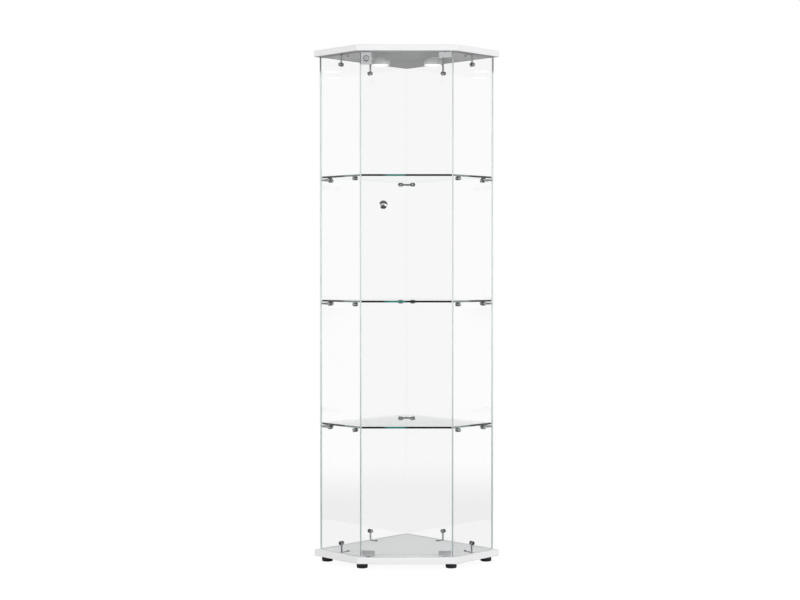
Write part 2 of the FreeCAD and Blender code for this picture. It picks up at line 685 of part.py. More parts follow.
def build_lock():
    axis = V(LOCK_X, 0, LOCK_Z)
    x0 = LOCK_X - LOCK_PLATE_W / 2
    x1 = LOCK_X + LOCK_PLATE_W / 2
    z0 = LOCK_TOP_Z - LOCK_PLATE_H
    face = block(x0, x1, PLATE_FRONT_Y, DOOR_FRONT_Y, z0, LOCK_TOP_Z)
    face = face.makeFillet(LOCK_PLATE_ROUND, edges_along(face, REARWARD))
    hole_from = axis + V(0, PLATE_FRONT_Y - OVERCUT, 0)
    hole_l = LOCK_PLATE_T + 2 * OVERCUT
    barrel_hole = rod(BARREL_D + 2 * LOOSE_FIT, hole_from, REARWARD, hole_l)
    nodes["lock_plate"] = [face.cut(barrel_hole)]

    bezel_y = PLATE_FRONT_Y - BEZEL_T
    bezel = rod(BEZEL_D, axis + V(0, bezel_y, 0), REARWARD, BEZEL_T)
    bezel = bezel.makeChamfer(BEZEL_CHAMFER, rims(bezel, REARWARD, bezel_y))
    barrel_from = axis + V(0, PLATE_FRONT_Y, 0)
    barrel = rod(BARREL_D, barrel_from, REARWARD, BARREL_REAR_Y - PLATE_FRONT_Y)
    bore_from = axis + V(0, bezel_y - OVERCUT, 0)
    bore_l = BARREL_REAR_Y - bezel_y + 2 * OVERCUT
    bore = rod(PLUG_D + 2 * RUNNING_FIT, bore_from, REARWARD, bore_l)
    nodes["lock_housing"] = [joined([bezel, barrel]).cut(bore)]

    nut_from = axis + V(0, DOOR_REAR_Y + NUT_GAP, 0)
    nut = rod(NUT_D, nut_from, REARWARD, NUT_T)
    nodes["lock_nut"] = [nut.cut(rod(BARREL_D + 2 * LOOSE_FIT, nut_from, REARWARD, NUT_T))]

    plug_y = bezel_y - PLUG_PROUD
    plug = rod(PLUG_D, axis + V(0, plug_y, 0), REARWARD, CAM_Y - plug_y)
    key_half = KEYWAY_H / 2
    keyway = block(
        LOCK_X - KEYWAY_W / 2,
        LOCK_X + KEYWAY_W / 2,
        plug_y - OVERCUT,
        plug_y + KEYWAY_DEPTH,
        LOCK_Z - key_half,
        LOCK_Z + key_half,
    )
    cam_screw_from = axis + V(0, CAM_Y + CAM_T, 0)
    thread = rod(CAM_SCREW_D + 2 * LOOSE_FIT, cam_screw_from, FORWARD, CAM_SCREW_L + LOOSE_FIT)
    nodes["lock_plug"] = [cut(plug, [keyway, thread])]

    boss = rod(PLUG_D, axis + V(0, CAM_Y, 0), REARWARD, CAM_T)
    tip_x = LOCK_X + CAM_L - CAM_W / 2
    arm = block(LOCK_X, tip_x, CAM_Y, CAM_Y + CAM_T, LOCK_Z - CAM_W / 2, LOCK_Z + CAM_W / 2)
    tip = rod(CAM_W, V(tip_x, CAM_Y, LOCK_Z), REARWARD, CAM_T)
    nodes["lock_cam"] = [joined([boss, arm, tip]).cut(thread)]
    cam_screw = screw(CAM_SCREW_D, CAM_SCREW_L, CAM_HEAD_D, CAM_HEAD_T)
    nodes["lock_cam_screw"] = [aimed(cam_screw, cam_screw_from, FORWARD)]

    half = STRIKE_W / 2
    left_x = LOCK_X - half
    right_x = LOCK_X + half
    flange = block(left_x, right_x, STRIKE_Y, STRIKE_Y + STRIKE_T, ROOF_Z - STRIKE_DROP, ROOF_Z)
    leaf_y = STRIKE_Y + STRIKE_REACH
    leaf = block(left_x, right_x, STRIKE_Y, leaf_y, ROOF_Z - STRIKE_T, ROOF_Z)
    spots = []
    for dx in (-STRIKE_SCREW_SPACING / 2, STRIKE_SCREW_SPACING / 2):
        spots.append(V(LOCK_X + dx, STRIKE_Y + STRIKE_SCREW_AT, ROOF_Z - STRIKE_T))
    holes = [screw_hole(spot - V(0, 0, OVERCUT), UP, STRIKE_T + 2 * OVERCUT) for spot in spots]
    nodes["lock_strike"] = [cut(joined([flange, leaf]), holes)]
    return spots


def build_door():
    half = DOOR_W / 2
    pane = block(-half, half, DOOR_FRONT_Y, DOOR_REAR_Y, DOOR_BOTTOM_Z, DOOR_TOP_Z)
    pane = pane.makeChamfer(GLASS_ARRIS, pane.Edges)
    start_y = DOOR_FRONT_Y - OVERCUT
    through = GLASS_T + 2 * OVERCUT
    lock_hole_d = BARREL_D + 2 * BARREL_CLEARANCE
    lock_hole = rod(lock_hole_d, V(LOCK_X, start_y, LOCK_Z), REARWARD, through)
    knob_hole = rod(KNOB_HOLE_D, V(KNOB_X, start_y, KNOB_Z), REARWARD, through)
    nodes["door_glass"] = [cut(pane, [lock_hole, knob_hole])]


def build_knob():
    axis = V(KNOB_X, 0, KNOB_Z)
    seat = axis + V(0, KNOB_SEAT_Y, 0)
    rosette = rod(KNOB_FOOT_D, seat, FORWARD, KNOB_FOOT_T)
    neck = rod(KNOB_NECK_D, seat, FORWARD, KNOB_SEAT_Y - KNOB_BALL_Y)
    ball = Part.makeSphere(KNOB_D / 2, axis + V(0, KNOB_BALL_Y, 0))
    head_y = DOOR_REAR_Y + WASHER_T
    screw_l = head_y - KNOB_SEAT_Y + KNOB_THREAD
    thread = rod(KNOB_SCREW_D + 2 * LOOSE_FIT, seat, FORWARD, KNOB_THREAD + LOOSE_FIT)
    nodes["knob"] = [joined([rosette, neck, ball]).cut(thread)]
    washers = []
    for y in (KNOB_SEAT_Y, DOOR_REAR_Y):
        ring = rod(WASHER_D, axis + V(0, y, 0), REARWARD, WASHER_T)
        washers.append(ring.cut(rod(KNOB_HOLE_D, axis + V(0, y, 0), REARWARD, WASHER_T)))
    nodes["knob_washers"] = washers
    knob_screw = screw(KNOB_SCREW_D, screw_l, KNOB_SCREW_HEAD_D, KNOB_SCREW_HEAD_T)
    nodes["knob_screw"] = [aimed(knob_screw, axis + V(0, head_y, 0), FORWARD)]


# ---- Lamps ----
def lamp_screw_places():
    half = LAMP_SCREW_SPACING / 2
    ceiling = ROOF_Z - LAMP_WALL
    return [V(LAMP_X + dx, LAMP_Y, ceiling) for dx in (-half, half)]


def build_lamps():
    axis = V(LAMP_X, LAMP_Y, 0)
    bottom = ROOF_Z - LAMP_H
    lens_seat = bottom + LENS_RECESS + LENS_T
    shell = rod(LAMP_D, axis + V(0, 0, bottom), UP, LAMP_H)
    shell = shell.makeFillet(LAMP_ROUND, rims(shell, UP, bottom))
    mouth = rod(LAMP_MOUTH_D, axis, UP, lens_seat)
    hollow = rod(LAMP_HOLLOW_D, axis, UP, ROOF_Z - LAMP_WALL)
    cable = rod(CABLE_HOLE_D, axis, UP, HEIGHT)
    tools = [mouth, hollow, cable]
    tools.extend(rod(SCREW_HOLE_D, p, UP, LAMP_WALL) for p in lamp_screw_places())
    shell = cut(shell, tools)
    lens_from = axis + V(0, 0, bottom + LENS_RECESS)
    lens = rod(LAMP_MOUTH_D - 2 * LOOSE_FIT, lens_from, UP, LENS_T)
    led_z = ROOF_Z - LAMP_WALL - LED_BOARD_DROP
    led_board = rod(LED_BOARD_D, axis + V(0, 0, led_z - LED_BOARD_T), UP, LED_BOARD_T)
    spacer = rod(LED_SPACER_D, axis + V(0, 0, led_z), UP, LED_BOARD_DROP)
    leds = [led_board, spacer]
    for i in range(LED_COUNT):
        angle = 2 * math.pi * i / LED_COUNT
        x = LAMP_X + math.cos(angle) * LED_RING_D / 2
        y = LAMP_Y + math.sin(angle) * LED_RING_D / 2
        z = led_z - LED_BOARD_T - LED_T
        half = LED_W / 2
        leds.append(block(x - half, x + half, y - half, y + half, z, z + LED_T))
    led_unit = joined(leds).cut(rod(LED_WIRE_HOLE_D, axis, UP, HEIGHT))
    nodes["lamp_housing_right"] = [shell]
    nodes["lamp_housing_left"] = [left(shell)]
    nodes["lamp_lenses"] = [lens, left(lens)]
    nodes["lamp_led_units"] = [led_unit, left(led_unit)]


# ---- Screws into the boards ----
def build_board_screws(catch_spot, strike_spots):
    leg_top = V(0, GLASS_T + BRACKET_SCREW_AT, FLOOR_Z + STRIP_T)
    marker = Part.Vertex(leg_top)
    floor_spots = []
    for placed in (on_side(marker, SIDE_BRACKET_AT), on_back(marker, BACK_BRACKET_AT)):
        point = placed.Vertexes[0].Point
        floor_spots.extend([point, V(-point.x, point.y, point.z)])
    roof_spots = [V(p.x, p.y, 2 * MID_Z - p.z) for p in floor_spots]
    floor_spots.append(catch_spot)
    roof_spots.extend(strike_spots)
    for place in lamp_screw_places():
        roof_spots.extend([place, V(-place.x, place.y, place.z)])
    pan_head = screw(SCREW_D, SCREW_L, SCREW_HEAD_D, SCREW_HEAD_T)
    low_head = screw(SCREW_D, SCREW_L, SCREW_HEAD_D, LOW_HEAD_T)
    hinge_spot = V(PIVOT_X - HINGE_SCREW_AT, DOOR_MID_Y, FLOOR_Z + HINGE_PLATE_T)
    hinge_screw = aimed(low_head, hinge_spot, DOWN)
    screws = [aimed(pan_head, spot, DOWN) for spot in floor_spots]
    screws.extend(aimed(pan_head, spot, UP) for spot in roof_spots)
    nodes["board_screws"] = screws + [hinge_screw, overhead(hinge_screw)]

    bush_from = V(PIVOT_X, DOOR_MID_Y, FLOOR_Z)
    bush_hole = rod(BUSH_D + 2 * LOOSE_FIT, bush_from, DOWN, BUSH_DEPTH + LOOSE_FIT)
    hinge_hole = screw_hole(hinge_spot, DOWN, SCREW_L)
    floor_tools = [screw_hole(spot, DOWN, SCREW_L) for spot in floor_spots]
    floor_tools.extend([bush_hole, hinge_hole])
    roof_tools = [screw_hole(spot, UP, SCREW_L) for spot in roof_spots]
    roof_tools.extend([overhead(bush_hole), overhead(hinge_hole)])
    for x in (-LAMP_X, LAMP_X):
        start = V(x, LAMP_Y, ROOF_Z - OVERCUT)
        roof_tools.append(rod(CABLE_HOLE_D, start, UP, BOARD_T + 2 * OVERCUT))
    nodes["bottom_board"] = [cut(nodes["bottom_board"][0], floor_tools)]
    nodes["top_board"] = [cut(nodes["top_board"][0], roof_tools)]


def export():
    os.makedirs("parts", exist_ok=True)
    to_origin = V(0, -ORIGIN_Y, 0)
    for name, solids in sorted(nodes.items()):
        pieces = [solid.translated(to_origin) for solid in solids]
        shape = pieces[0] if len(pieces) == 1 else Part.makeCompound(pieces)
        shape.exportStep("parts/" + name + ".step")


build_carcass()
build_glass_and_clamps()
build_brackets()
build_hinges()
catch_screw_at = build_catch()
strike_screws_at = build_lock()
build_door()
build_knob()
build_lamps()
build_board_screws(catch_screw_at, strike_screws_at)
export()
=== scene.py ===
# %% [markdown]
# # A glass corner cabinet
# The cabinet is a tall five-sided case of clear glass between two white boards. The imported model
# already has every piece at its real size and place, so most of this lesson is about finishes:
# white laminate, clear glass with green edges, polished and satin metal, black feet and two lit
# lamps.

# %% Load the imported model
import json
import math
import bmesh
import bpy
import numpy as np
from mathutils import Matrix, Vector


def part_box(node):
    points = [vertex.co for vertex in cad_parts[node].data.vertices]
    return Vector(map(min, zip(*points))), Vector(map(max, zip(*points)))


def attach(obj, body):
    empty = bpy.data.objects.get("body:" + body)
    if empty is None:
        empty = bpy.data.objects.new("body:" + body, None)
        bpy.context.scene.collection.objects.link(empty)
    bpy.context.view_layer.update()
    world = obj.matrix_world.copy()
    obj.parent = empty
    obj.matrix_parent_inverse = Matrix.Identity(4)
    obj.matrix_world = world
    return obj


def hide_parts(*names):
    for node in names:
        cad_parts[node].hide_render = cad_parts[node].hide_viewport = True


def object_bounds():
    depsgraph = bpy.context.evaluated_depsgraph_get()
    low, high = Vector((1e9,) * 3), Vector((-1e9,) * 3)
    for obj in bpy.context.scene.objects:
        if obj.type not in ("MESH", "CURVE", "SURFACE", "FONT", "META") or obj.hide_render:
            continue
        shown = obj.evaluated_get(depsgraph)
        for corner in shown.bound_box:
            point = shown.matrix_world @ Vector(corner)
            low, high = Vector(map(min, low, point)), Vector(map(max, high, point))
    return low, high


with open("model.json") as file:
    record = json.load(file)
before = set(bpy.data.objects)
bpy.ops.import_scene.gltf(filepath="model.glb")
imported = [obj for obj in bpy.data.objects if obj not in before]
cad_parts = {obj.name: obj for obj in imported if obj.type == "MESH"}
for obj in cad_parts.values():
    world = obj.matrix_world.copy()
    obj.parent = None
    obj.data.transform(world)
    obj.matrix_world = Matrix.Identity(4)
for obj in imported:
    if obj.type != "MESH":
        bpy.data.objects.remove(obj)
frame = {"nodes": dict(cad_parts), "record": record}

cad_low, cad_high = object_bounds()
nodes = frame["nodes"]
materials = {}
print("nodes", len(nodes), "box", tuple(cad_low), tuple(cad_high))

# %% [markdown]
# The camera stands at about half the height of the cabinet and looks slightly down, so the roof
# board is seen from below and the floor board from above. A long lens keeps the upright edges
# parallel. The view is shifted a little, because the cabinet stands right of the middle.

# %% Camera
PICTURE_W = 800
CABINET_U = 406.667  # picture column of the middle of the cabinet
LENS_MM = 67.38
SENSOR_MM = 36.0
CAMERA_PLACE = (0.0, -4.8795, 0.9457)
CAMERA_TILT = math.radians(1.243)

camera_data = bpy.data.cameras.new("camera")
camera_data.lens = LENS_MM
camera_data.sensor_width = SENSOR_MM
camera_data.shift_x = -(CABINET_U - PICTURE_W / 2) / PICTURE_W
camera = bpy.data.objects.new("camera", camera_data)
camera.location = CAMERA_PLACE
camera.rotation_euler = (math.pi / 2 - CAMERA_TILT, 0.0, 0.0)
bpy.context.scene.collection.objects.link(camera)
bpy.context.scene.camera = camera
bpy.context.scene.view_settings.view_transform = "Standard"
print("camera", tuple(camera.location), "lens", camera_data.lens)


# %% [markdown]
# Every finish needs the same few steps: make a material, find its shader, add nodes and join them.
# Small helpers keep that short. The first one feeds a node's inputs, with plain values or with the
# sockets of other nodes. Values that are the same all over a surface are set straight on the
# shader, and only what changes over the surface comes through nodes.

# %% Node helpers
def feed(tree, node, inputs):
    """Gives inputs, by name or number, a plain value each or another node's socket to link."""
    for key, value in inputs.items():
        socket = node.inputs[key]
        if isinstance(value, bpy.types.NodeSocket):
            tree.links.new(value, socket)
        elif socket.type == "RGBA":
            socket.default_value = (*value, 1.0)
        else:
            socket.default_value = value


def add(tree, kind, inputs=None, **properties):
    """A node, with its plain properties set and its inputs fed."""
    node = tree.nodes.new(kind)
    for key, value in properties.items():
        setattr(node, key, value)
    feed(tree, node, inputs or {})
    return node


def calculate(tree, operation, *values, **properties):
    """A Math node on numbers or sockets. Returns its result."""
    node = add(tree, "ShaderNodeMath", dict(enumerate(values)), operation=operation, **properties)
    return node.outputs[0]


def smooth_step(tree, value, low, high, low_value=0.0, high_value=1.0):
    """Goes smoothly from low_value at low to high_value at high, and stays level outside."""
    inputs = {"Value": value, "From Min": low, "From Max": high}
    inputs.update({"To Min": low_value, "To Max": high_value})
    node = add(tree, "ShaderNodeMapRange", inputs, interpolation_type="SMOOTHSTEP")
    return node.outputs["Result"]


def mixed_value(tree, factor, when_zero, when_one):
    """One number or socket where the factor is 0, the other where it is 1."""
    inputs = {"Factor": factor, "A": when_zero, "B": when_one}
    return add(tree, "ShaderNodeMix", inputs).outputs["Result"]


MIX_A, MIX_B, MIX_RESULT = 6, 7, 2  # the sockets that a Mix node has for colours


def mixed_color(tree, factor, when_zero, when_one):
    """One colour where the factor is 0, the other where it is 1. Each may be a socket."""
    inputs = {0: factor, MIX_A: when_zero, MIX_B: when_one}
    return add(tree, "ShaderNodeMix", inputs, data_type="RGBA").outputs[MIX_RESULT]


def mixed_shader(tree, factor, when_zero, when_one):
    """One shader node where the factor is 0, the other where it is 1. Returns the mixing node."""
    inputs = {0: factor, 1: when_zero.outputs[0], 2: when_one.outputs[0]}
    return add(tree, "ShaderNodeMixShader", inputs)


# %% [markdown]
# A material starts with one Principled shader. A shader group is a small tree of its own with named
# sockets, built once and placed in every material that needs it, each time with other values.

# %% Material and group helpers
def new_material(name, color, roughness, metallic=0.0):
    """A material with one Principled shader. Returns the node tree and the shader."""
    material = bpy.data.materials.new(name)
    material.use_nodes = True
    tree = material.node_tree
    shader = tree.nodes["Principled BSDF"]
    feed(tree, shader, {"Base Color": color, "Roughness": roughness, "Metallic": metallic})
    materials[name] = material
    return tree, shader


def set_surface(name, node):
    """The material takes its look from this shader node."""
    tree = materials[name].node_tree
    feed(tree, tree.nodes["Material Output"], {"Surface": node.outputs[0]})


def new_group(name, inputs, outputs):
    """An empty group with named sockets. Returns it, what it is given and its end node."""
    group = bpy.data.node_groups.new(name, "ShaderNodeTree")
    for socket, kind, value in inputs:
        made = group.interface.new_socket(socket, in_out="INPUT", socket_type=kind)
        made.default_value = value
    for socket, kind in outputs:
        group.interface.new_socket(socket, in_out="OUTPUT", socket_type=kind)
    return group, add(group, "NodeGroupInput").outputs, add(group, "NodeGroupOutput")


def group_node(tree, group, **values):
    """A shader group placed in a tree, with its inputs set by name."""
    inputs = {key.replace("_", " "): value for key, value in values.items()}
    return add(tree, "ShaderNodeGroup", inputs, node_tree=group)


# %% [markdown]
# Laminate, plastic and lacquer all have a fine all-over grain, and their colour and gloss drift a
# little from place to place. One group makes both: a fine noise for the height and a broad one for
# the drift. It could be a picture of a real surface, but noise has no seams and no fixed size.

# %% Grain group
FLOAT = "NodeSocketFloat"
COLOR = "NodeSocketColor"
VECTOR = "NodeSocketVector"
FINE_DETAIL, BROAD_DETAIL = 3.0, 4.0


def noise(tree, place, scale, detail):
    """A noise from 0 to 1 at each place."""
    inputs = {"Vector": place, "Scale": scale, "Detail": detail}
    return add(tree, "ShaderNodeTexNoise", inputs).outputs["Fac"]


def make_grain():
    """Color = input times 1 + Drift n, Roughness = input + Spread n, n a noise from -0.5 to 0.5."""
    group, given, end = new_group(
        "grain",
        [
            ("Color", COLOR, (0.8, 0.8, 0.8, 1.0)),
            ("Drift", FLOAT, 0.02),
            ("Roughness", FLOAT, 0.5),
            ("Spread", FLOAT, 0.05),
            ("Grain Scale", FLOAT, 1500.0),
            ("Drift Scale", FLOAT, 9.0),
        ],
        [("Color", COLOR), ("Roughness", FLOAT), ("Height", FLOAT)],
    )
    place = add(group, "ShaderNodeTexCoord").outputs["Object"]
    fine = noise(group, place, given["Grain Scale"], FINE_DETAIL)
    broad = noise(group, place, given["Drift Scale"], BROAD_DETAIL)
    centred = calculate(group, "SUBTRACT", broad, 0.5)
    factor = calculate(group, "MULTIPLY_ADD", centred, given["Drift"], 1.0)
    tint = add(group, "ShaderNodeVectorMath", operation="SCALE")
    feed(group, tint, {0: given["Color"], "Scale": factor})
    gloss = calculate(group, "MULTIPLY_ADD", centred, given["Spread"], given["Roughness"])
    feed(group, end, {"Color": tint.outputs[0], "Roughness": gloss, "Height": fine})
    return group


GRAIN = make_grain()


def take_relief(tree, shader, group, depth_mm):
    """The shader takes its roughness from a group, and bumps of that depth from its height."""
    bump = add(tree, "ShaderNodeBump", {"Distance": depth_mm / 1000})
    feed(tree, bump, {"Height": group.outputs["Height"]})
    feed(tree, shader, {"Roughness": group.outputs["Roughness"], "Normal": bump.outputs["Normal"]})


def grained(name, color, roughness, grain_mm, metallic=0.0, **values):
    """A finish with the grain group, grain_mm deep. Returns its tree, shader and grain node."""
    tree, shader = new_material(name, color, roughness, metallic)
    grain = group_node(tree, GRAIN, Color=color, Roughness=roughness, **values)
    feed(tree, shader, {"Base Color": grain.outputs["Color"]})
    take_relief(tree, shader, grain, grain_mm)
    return tree, shader, grain


grained("white_laminate", (0.86, 0.86, 0.87), 0.42, 0.02, Drift=0.015, Spread=0.08)
grained("black_plastic", (0.022, 0.022, 0.024), 0.5, 0.04, Drift=0.25, Spread=0.2, Grain_Scale=2600.0)
grained("rubber", (0.07, 0.07, 0.07), 0.75, 0.03, Drift=0.2)
grained("nylon", (0.82, 0.82, 0.78), 0.4, 0.01)
grained("magnet", (0.16, 0.16, 0.17), 0.45, 0.02, metallic=0.6, Drift=0.2)
grained("grey_lacquer", (0.62, 0.63, 0.64), 0.35, 0.01, Drift=0.03)
grained("led_board", (0.88, 0.88, 0.86), 0.35, 0.01)
print("grained finishes", sorted(materials))

# %% [markdown]
# The clips, brackets and screws are plated steel that was brushed before plating, so their shine is
# drawn out in fine lines. A noise that is stretched along one direction makes such lines. Polished
# parts such as the ball knob have no lines, only a slight unevenness in how sharply they mirror.
# The brackets, the clamp caps and the slope of the lock's ring are a darker nickel, which keeps
# them from vanishing against a pale room, and the screws in the boards are darker still.

# %% Metal finishes
LINE_DETAIL = 2.0
LINE_SQUEEZE = 0.03  # X and Y are made this much shorter, so the noise is drawn out along them


def make_brushed():
    """Height = a noise drawn out along X and Y, Roughness = the input + Spread times that noise."""
    group, given, end = new_group(
        "brushed",
        [("Roughness", FLOAT, 0.3), ("Spread", FLOAT, 0.15), ("Across", FLOAT, 2200.0)],
        [("Roughness", FLOAT), ("Height", FLOAT)],
    )
    place = add(group, "ShaderNodeTexCoord").outputs["Object"]
    squeeze = add(group, "ShaderNodeMapping", {"Scale": (LINE_SQUEEZE, LINE_SQUEEZE, 1.0)})
    feed(group, squeeze, {"Vector": place})
    lines = noise(group, squeeze.outputs["Vector"], given["Across"], LINE_DETAIL)
    gloss = calculate(group, "MULTIPLY_ADD", lines, given["Spread"], given["Roughness"])
    feed(group, end, {"Roughness": gloss, "Height": lines})
    return group


BRUSHED = make_brushed()


def brushed(name, color, roughness, line_mm):
    """A metal finish with fine lines, line_mm deep."""
    tree, shader = new_material(name, color, roughness, metallic=1.0)
    take_relief(tree, shader, group_node(tree, BRUSHED, Roughness=roughness), line_mm)


def polished(name, color, roughness, grain_mm, **values):
    """A metal finish without lines."""
    return grained(name, color, roughness, grain_mm, metallic=1.0, **values)


brushed("satin_steel", (0.96, 0.97, 0.98), 0.46, 0.004)
brushed("bracket_metal", (0.44, 0.45, 0.46), 0.24, 0.002)
brushed("dark_screw", (0.22, 0.225, 0.23), 0.30, 0.001)
polished("chrome", (0.80, 0.81, 0.82), 0.06, 0.0005, Drift=0.02, Spread=0.05)
polished("lock_metal", (0.36, 0.365, 0.37), 0.28, 0.0005, Drift=0.02, Spread=0.05)
polished("cap_metal", (0.40, 0.41, 0.42), 0.24, 0.001, Drift=0.06, Spread=0.10)
print("finishes so far", sorted(materials))

# %% [markdown]
# Clear float glass looks colourless through its face and green through its cut edge, because the
# light then travels a long way inside. Faces and edges therefore get finishes of their own. Light
# on its way to the boards passes the faces with hardly any loss, which keeps the inside bright.
# The shelves are seen almost edge-on, where glass is nearly a mirror. Their faces lose that mirror
# at the flattest angles, so that the brackets under and over them are seen once and not twice.

# %% Glass faces
GLASS_FACE = (0.999, 1.0, 1.0)
GLASS_PASS = (0.98, 0.985, 0.983)  # what is left of light that passes one surface freely
GLASS_IOR = 1.46
FLAT_START, FLAT_FULL = 0.80, 0.93  # facing value at which a shelf's mirror starts to go, is gone


def make_glass(name, keeps_mirror):
    """Clear glass, which lets shadow and diffuse rays pass with little loss."""
    tree, shader = new_material(name, GLASS_FACE, 0.0)
    feed(tree, shader, {"Transmission Weight": 1.0, "IOR": GLASS_IOR})
    rays = add(tree, "ShaderNodeLightPath").outputs
    passing = calculate(tree, "MAXIMUM", rays["Is Shadow Ray"], rays["Is Diffuse Ray"])
    if not keeps_mirror:
        facing = add(tree, "ShaderNodeLayerWeight").outputs["Facing"]
        flat = smooth_step(tree, facing, FLAT_START, FLAT_FULL)
        passing = calculate(tree, "MAXIMUM", passing, flat)
    clear = add(tree, "ShaderNodeBsdfTransparent", {"Color": GLASS_PASS})
    set_surface(name, mixed_shader(tree, passing, shader, clear))


make_glass("clear_glass", True)
make_glass("shelf_glass", False)
print("glass with a refractive index of", GLASS_IOR)

# %% [markdown]
# What a cut edge shows depends on how deep the glass behind it is and on the light round it, so its
# colour changes along it; some of these changes are painted reflection and painted shade. A group
# that rises smoothly from 0 to 1 along one direction makes every such change, and the painted glow on
# the lamp walls too. Its size is in metres on the cabinet, so it needs no texture laid on the pane.

# %% Fade group
SIDEWAYS = (1.0, 0.0, 0.0)
UPWARDS = (0.0, 0.0, 1.0)


def make_fade():
    """Fac rises smoothly from 0 at Start to 1 at Full, along Direction or, Mirrored, both ways."""
    group, given, end = new_group(
        "fade_along",
        [
            ("Direction", VECTOR, SIDEWAYS),
            ("Start", FLOAT, 0.0),
            ("Full", FLOAT, 0.1),
            ("Mirrored", FLOAT, 0.0),
        ],
        [("Fac", FLOAT)],
    )
    place = add(group, "ShaderNodeTexCoord").outputs["Object"]
    product = add(group, "ShaderNodeVectorMath", operation="DOT_PRODUCT")
    feed(group, product, {0: place, 1: given["Direction"]})
    along = product.outputs["Value"]
    reach = mixed_value(group, given["Mirrored"], along, calculate(group, "ABSOLUTE", along))
    feed(group, end, {"Fac": smooth_step(group, reach, given["Start"], given["Full"])})
    return group


FADE = make_fade()


def fade(tree, start, full, direction=SIDEWAYS, mirrored=0.0):
    """The fade group placed in a tree. Returns its mask."""
    node = group_node(tree, FADE, Direction=direction, Start=start, Full=full, Mirrored=mirrored)
    return node.outputs["Fac"]


print("fade group with", len(FADE.nodes), "nodes")

# %% [markdown]
# The upright edges are ground and polished. They have little glass behind them and are a pale
# grey-green, darker near the floor. In the last few centimetres under the roof board a painted shade
# falls on them: those of the door and the side panes turn a little greyer, and those at the outer
# corners of the cabinet, which belong to the back panes, turn dark grey.

# %% Upright edges
EDGE_ROUGHNESS = 0.3
EDGE_GLOSS = 0.08
EDGE_GRAIN_MM = 0.002
PALE_EDGE = (0.72, 0.77, 0.755)
LOW_EDGE = (0.44, 0.50, 0.48)
DOOR_TOP_SHADE = (0.66, 0.69, 0.68)
OUTER_TOP_SHADE = (0.14, 0.16, 0.155)
PALE_START, PALE_FULL = 0.10, 0.85  # height over which an upright edge gets paler
TOP_START, TOP_FULL = 1.562, 1.582  # height over which it changes under the roof board


def edge_finish(name, color):
    """A cut-edge material with the grain group. Returns its tree, shader and grain node."""
    made = grained(name, color, EDGE_ROUGHNESS, EDGE_GRAIN_MM, Drift=0.12, Spread=0.08)
    tree, shader, _ = made
    feed(tree, shader, {"Specular IOR Level": EDGE_GLOSS})
    return made


def upright_finish(name, top_shade_color):
    """An upright edge that gets paler upwards and takes top_shade_color, a painted shade, under the
    roof board.
    """
    tree, _, grain = edge_finish(name, PALE_EDGE)
    pale = fade(tree, PALE_START, PALE_FULL, UPWARDS)
    # painted shade: under the roof board the edge turns to the shade colour
    top = fade(tree, TOP_START, TOP_FULL, UPWARDS)
    low_to_pale = mixed_color(tree, pale, LOW_EDGE, PALE_EDGE)
    feed(tree, grain, {"Color": mixed_color(tree, top, low_to_pale, top_shade_color)})


upright_finish("upright_edge", DOOR_TOP_SHADE)
upright_finish("outer_edge", OUTER_TOP_SHADE)
print("upright edges change between", TOP_START, "and", TOP_FULL, "m")

# %% [markdown]
# A shelf is deep, so its front edge is almost black. Its one teal stretch is a painted reflection,
# fixed to the edge, and its side edges fade from grey to black towards the outer corners. The walls
# of the clamp holes in the upright panes are dark, a painted shade of the holes. The level edges of
# the upright panes and the edges that face the rear are seen from outside only: from inside the
# glass, the last finish lets the view through.

# %% Shelf edges, hole walls and far edges
DARK_EDGE = (0.004, 0.009, 0.007)
PAINTED_TEAL_REFLECTION = (0.03, 0.20, 0.17)
GREY_EDGE = (0.20, 0.25, 0.235)
HOLE_WALL = (0.09, 0.10, 0.10)
TEAL_FROM, TEAL_RISE = -0.078, -0.055  # where the teal stretch starts and is full
TEAL_FALL, TEAL_TO = -0.012, 0.003  # where it starts to fade and ends
GREY_TO, DARK_FROM = 0.190, 0.205  # the fade along a shelf's side edges, from the middle

front_tree, _, front_grain = edge_finish("shelf_front_edge", DARK_EDGE)
# painted reflection: a teal stretch along the front edge, fixed in place on it
rise = fade(front_tree, TEAL_FROM, TEAL_RISE)
fall = fade(front_tree, TEAL_FALL, TEAL_TO)
painted_reflection = calculate(front_tree, "SUBTRACT", rise, fall, use_clamp=True)
feed(front_tree, front_grain, {"Color": mixed_color(front_tree, painted_reflection, DARK_EDGE, PAINTED_TEAL_REFLECTION)})

side_tree, _, side_grain = edge_finish("shelf_side_edge", GREY_EDGE)
outwards = fade(side_tree, GREY_TO, DARK_FROM, mirrored=1.0)
feed(side_tree, side_grain, {"Color": mixed_color(side_tree, outwards, GREY_EDGE, DARK_EDGE)})

# painted shade: the hole walls are dark for the shade in the clamp holes
edge_finish("hole_wall", HOLE_WALL)
# painted shade: seen from outside, the level edges are grey like the shaded roof underside; at the
# top of a pane this grey stands for the shade under the board
far_tree, far_shader, _ = edge_finish("far_edge", GREY_EDGE)
from_inside = add(far_tree, "ShaderNodeNewGeometry").outputs["Backfacing"]
see_through = add(far_tree, "ShaderNodeBsdfTransparent")
set_surface("far_edge", mixed_shader(far_tree, from_inside, far_shader, see_through))
print("glass finishes", [name for name in materials if "edge" in name or "glass" in name])

# %% [markdown]
# The lamps are lit, so their lens gives off light itself. The glow is strong enough to read as white
# and weak enough that the real light in the scene still comes from the studio lamps. The housing wall
# has painted light: a weak glow of its own that brightens towards the lens, and more on the side that
# faces the other lamp, where the lens light would fall on it. Two fades, one down the wall and one
# inwards, are multiplied for that.

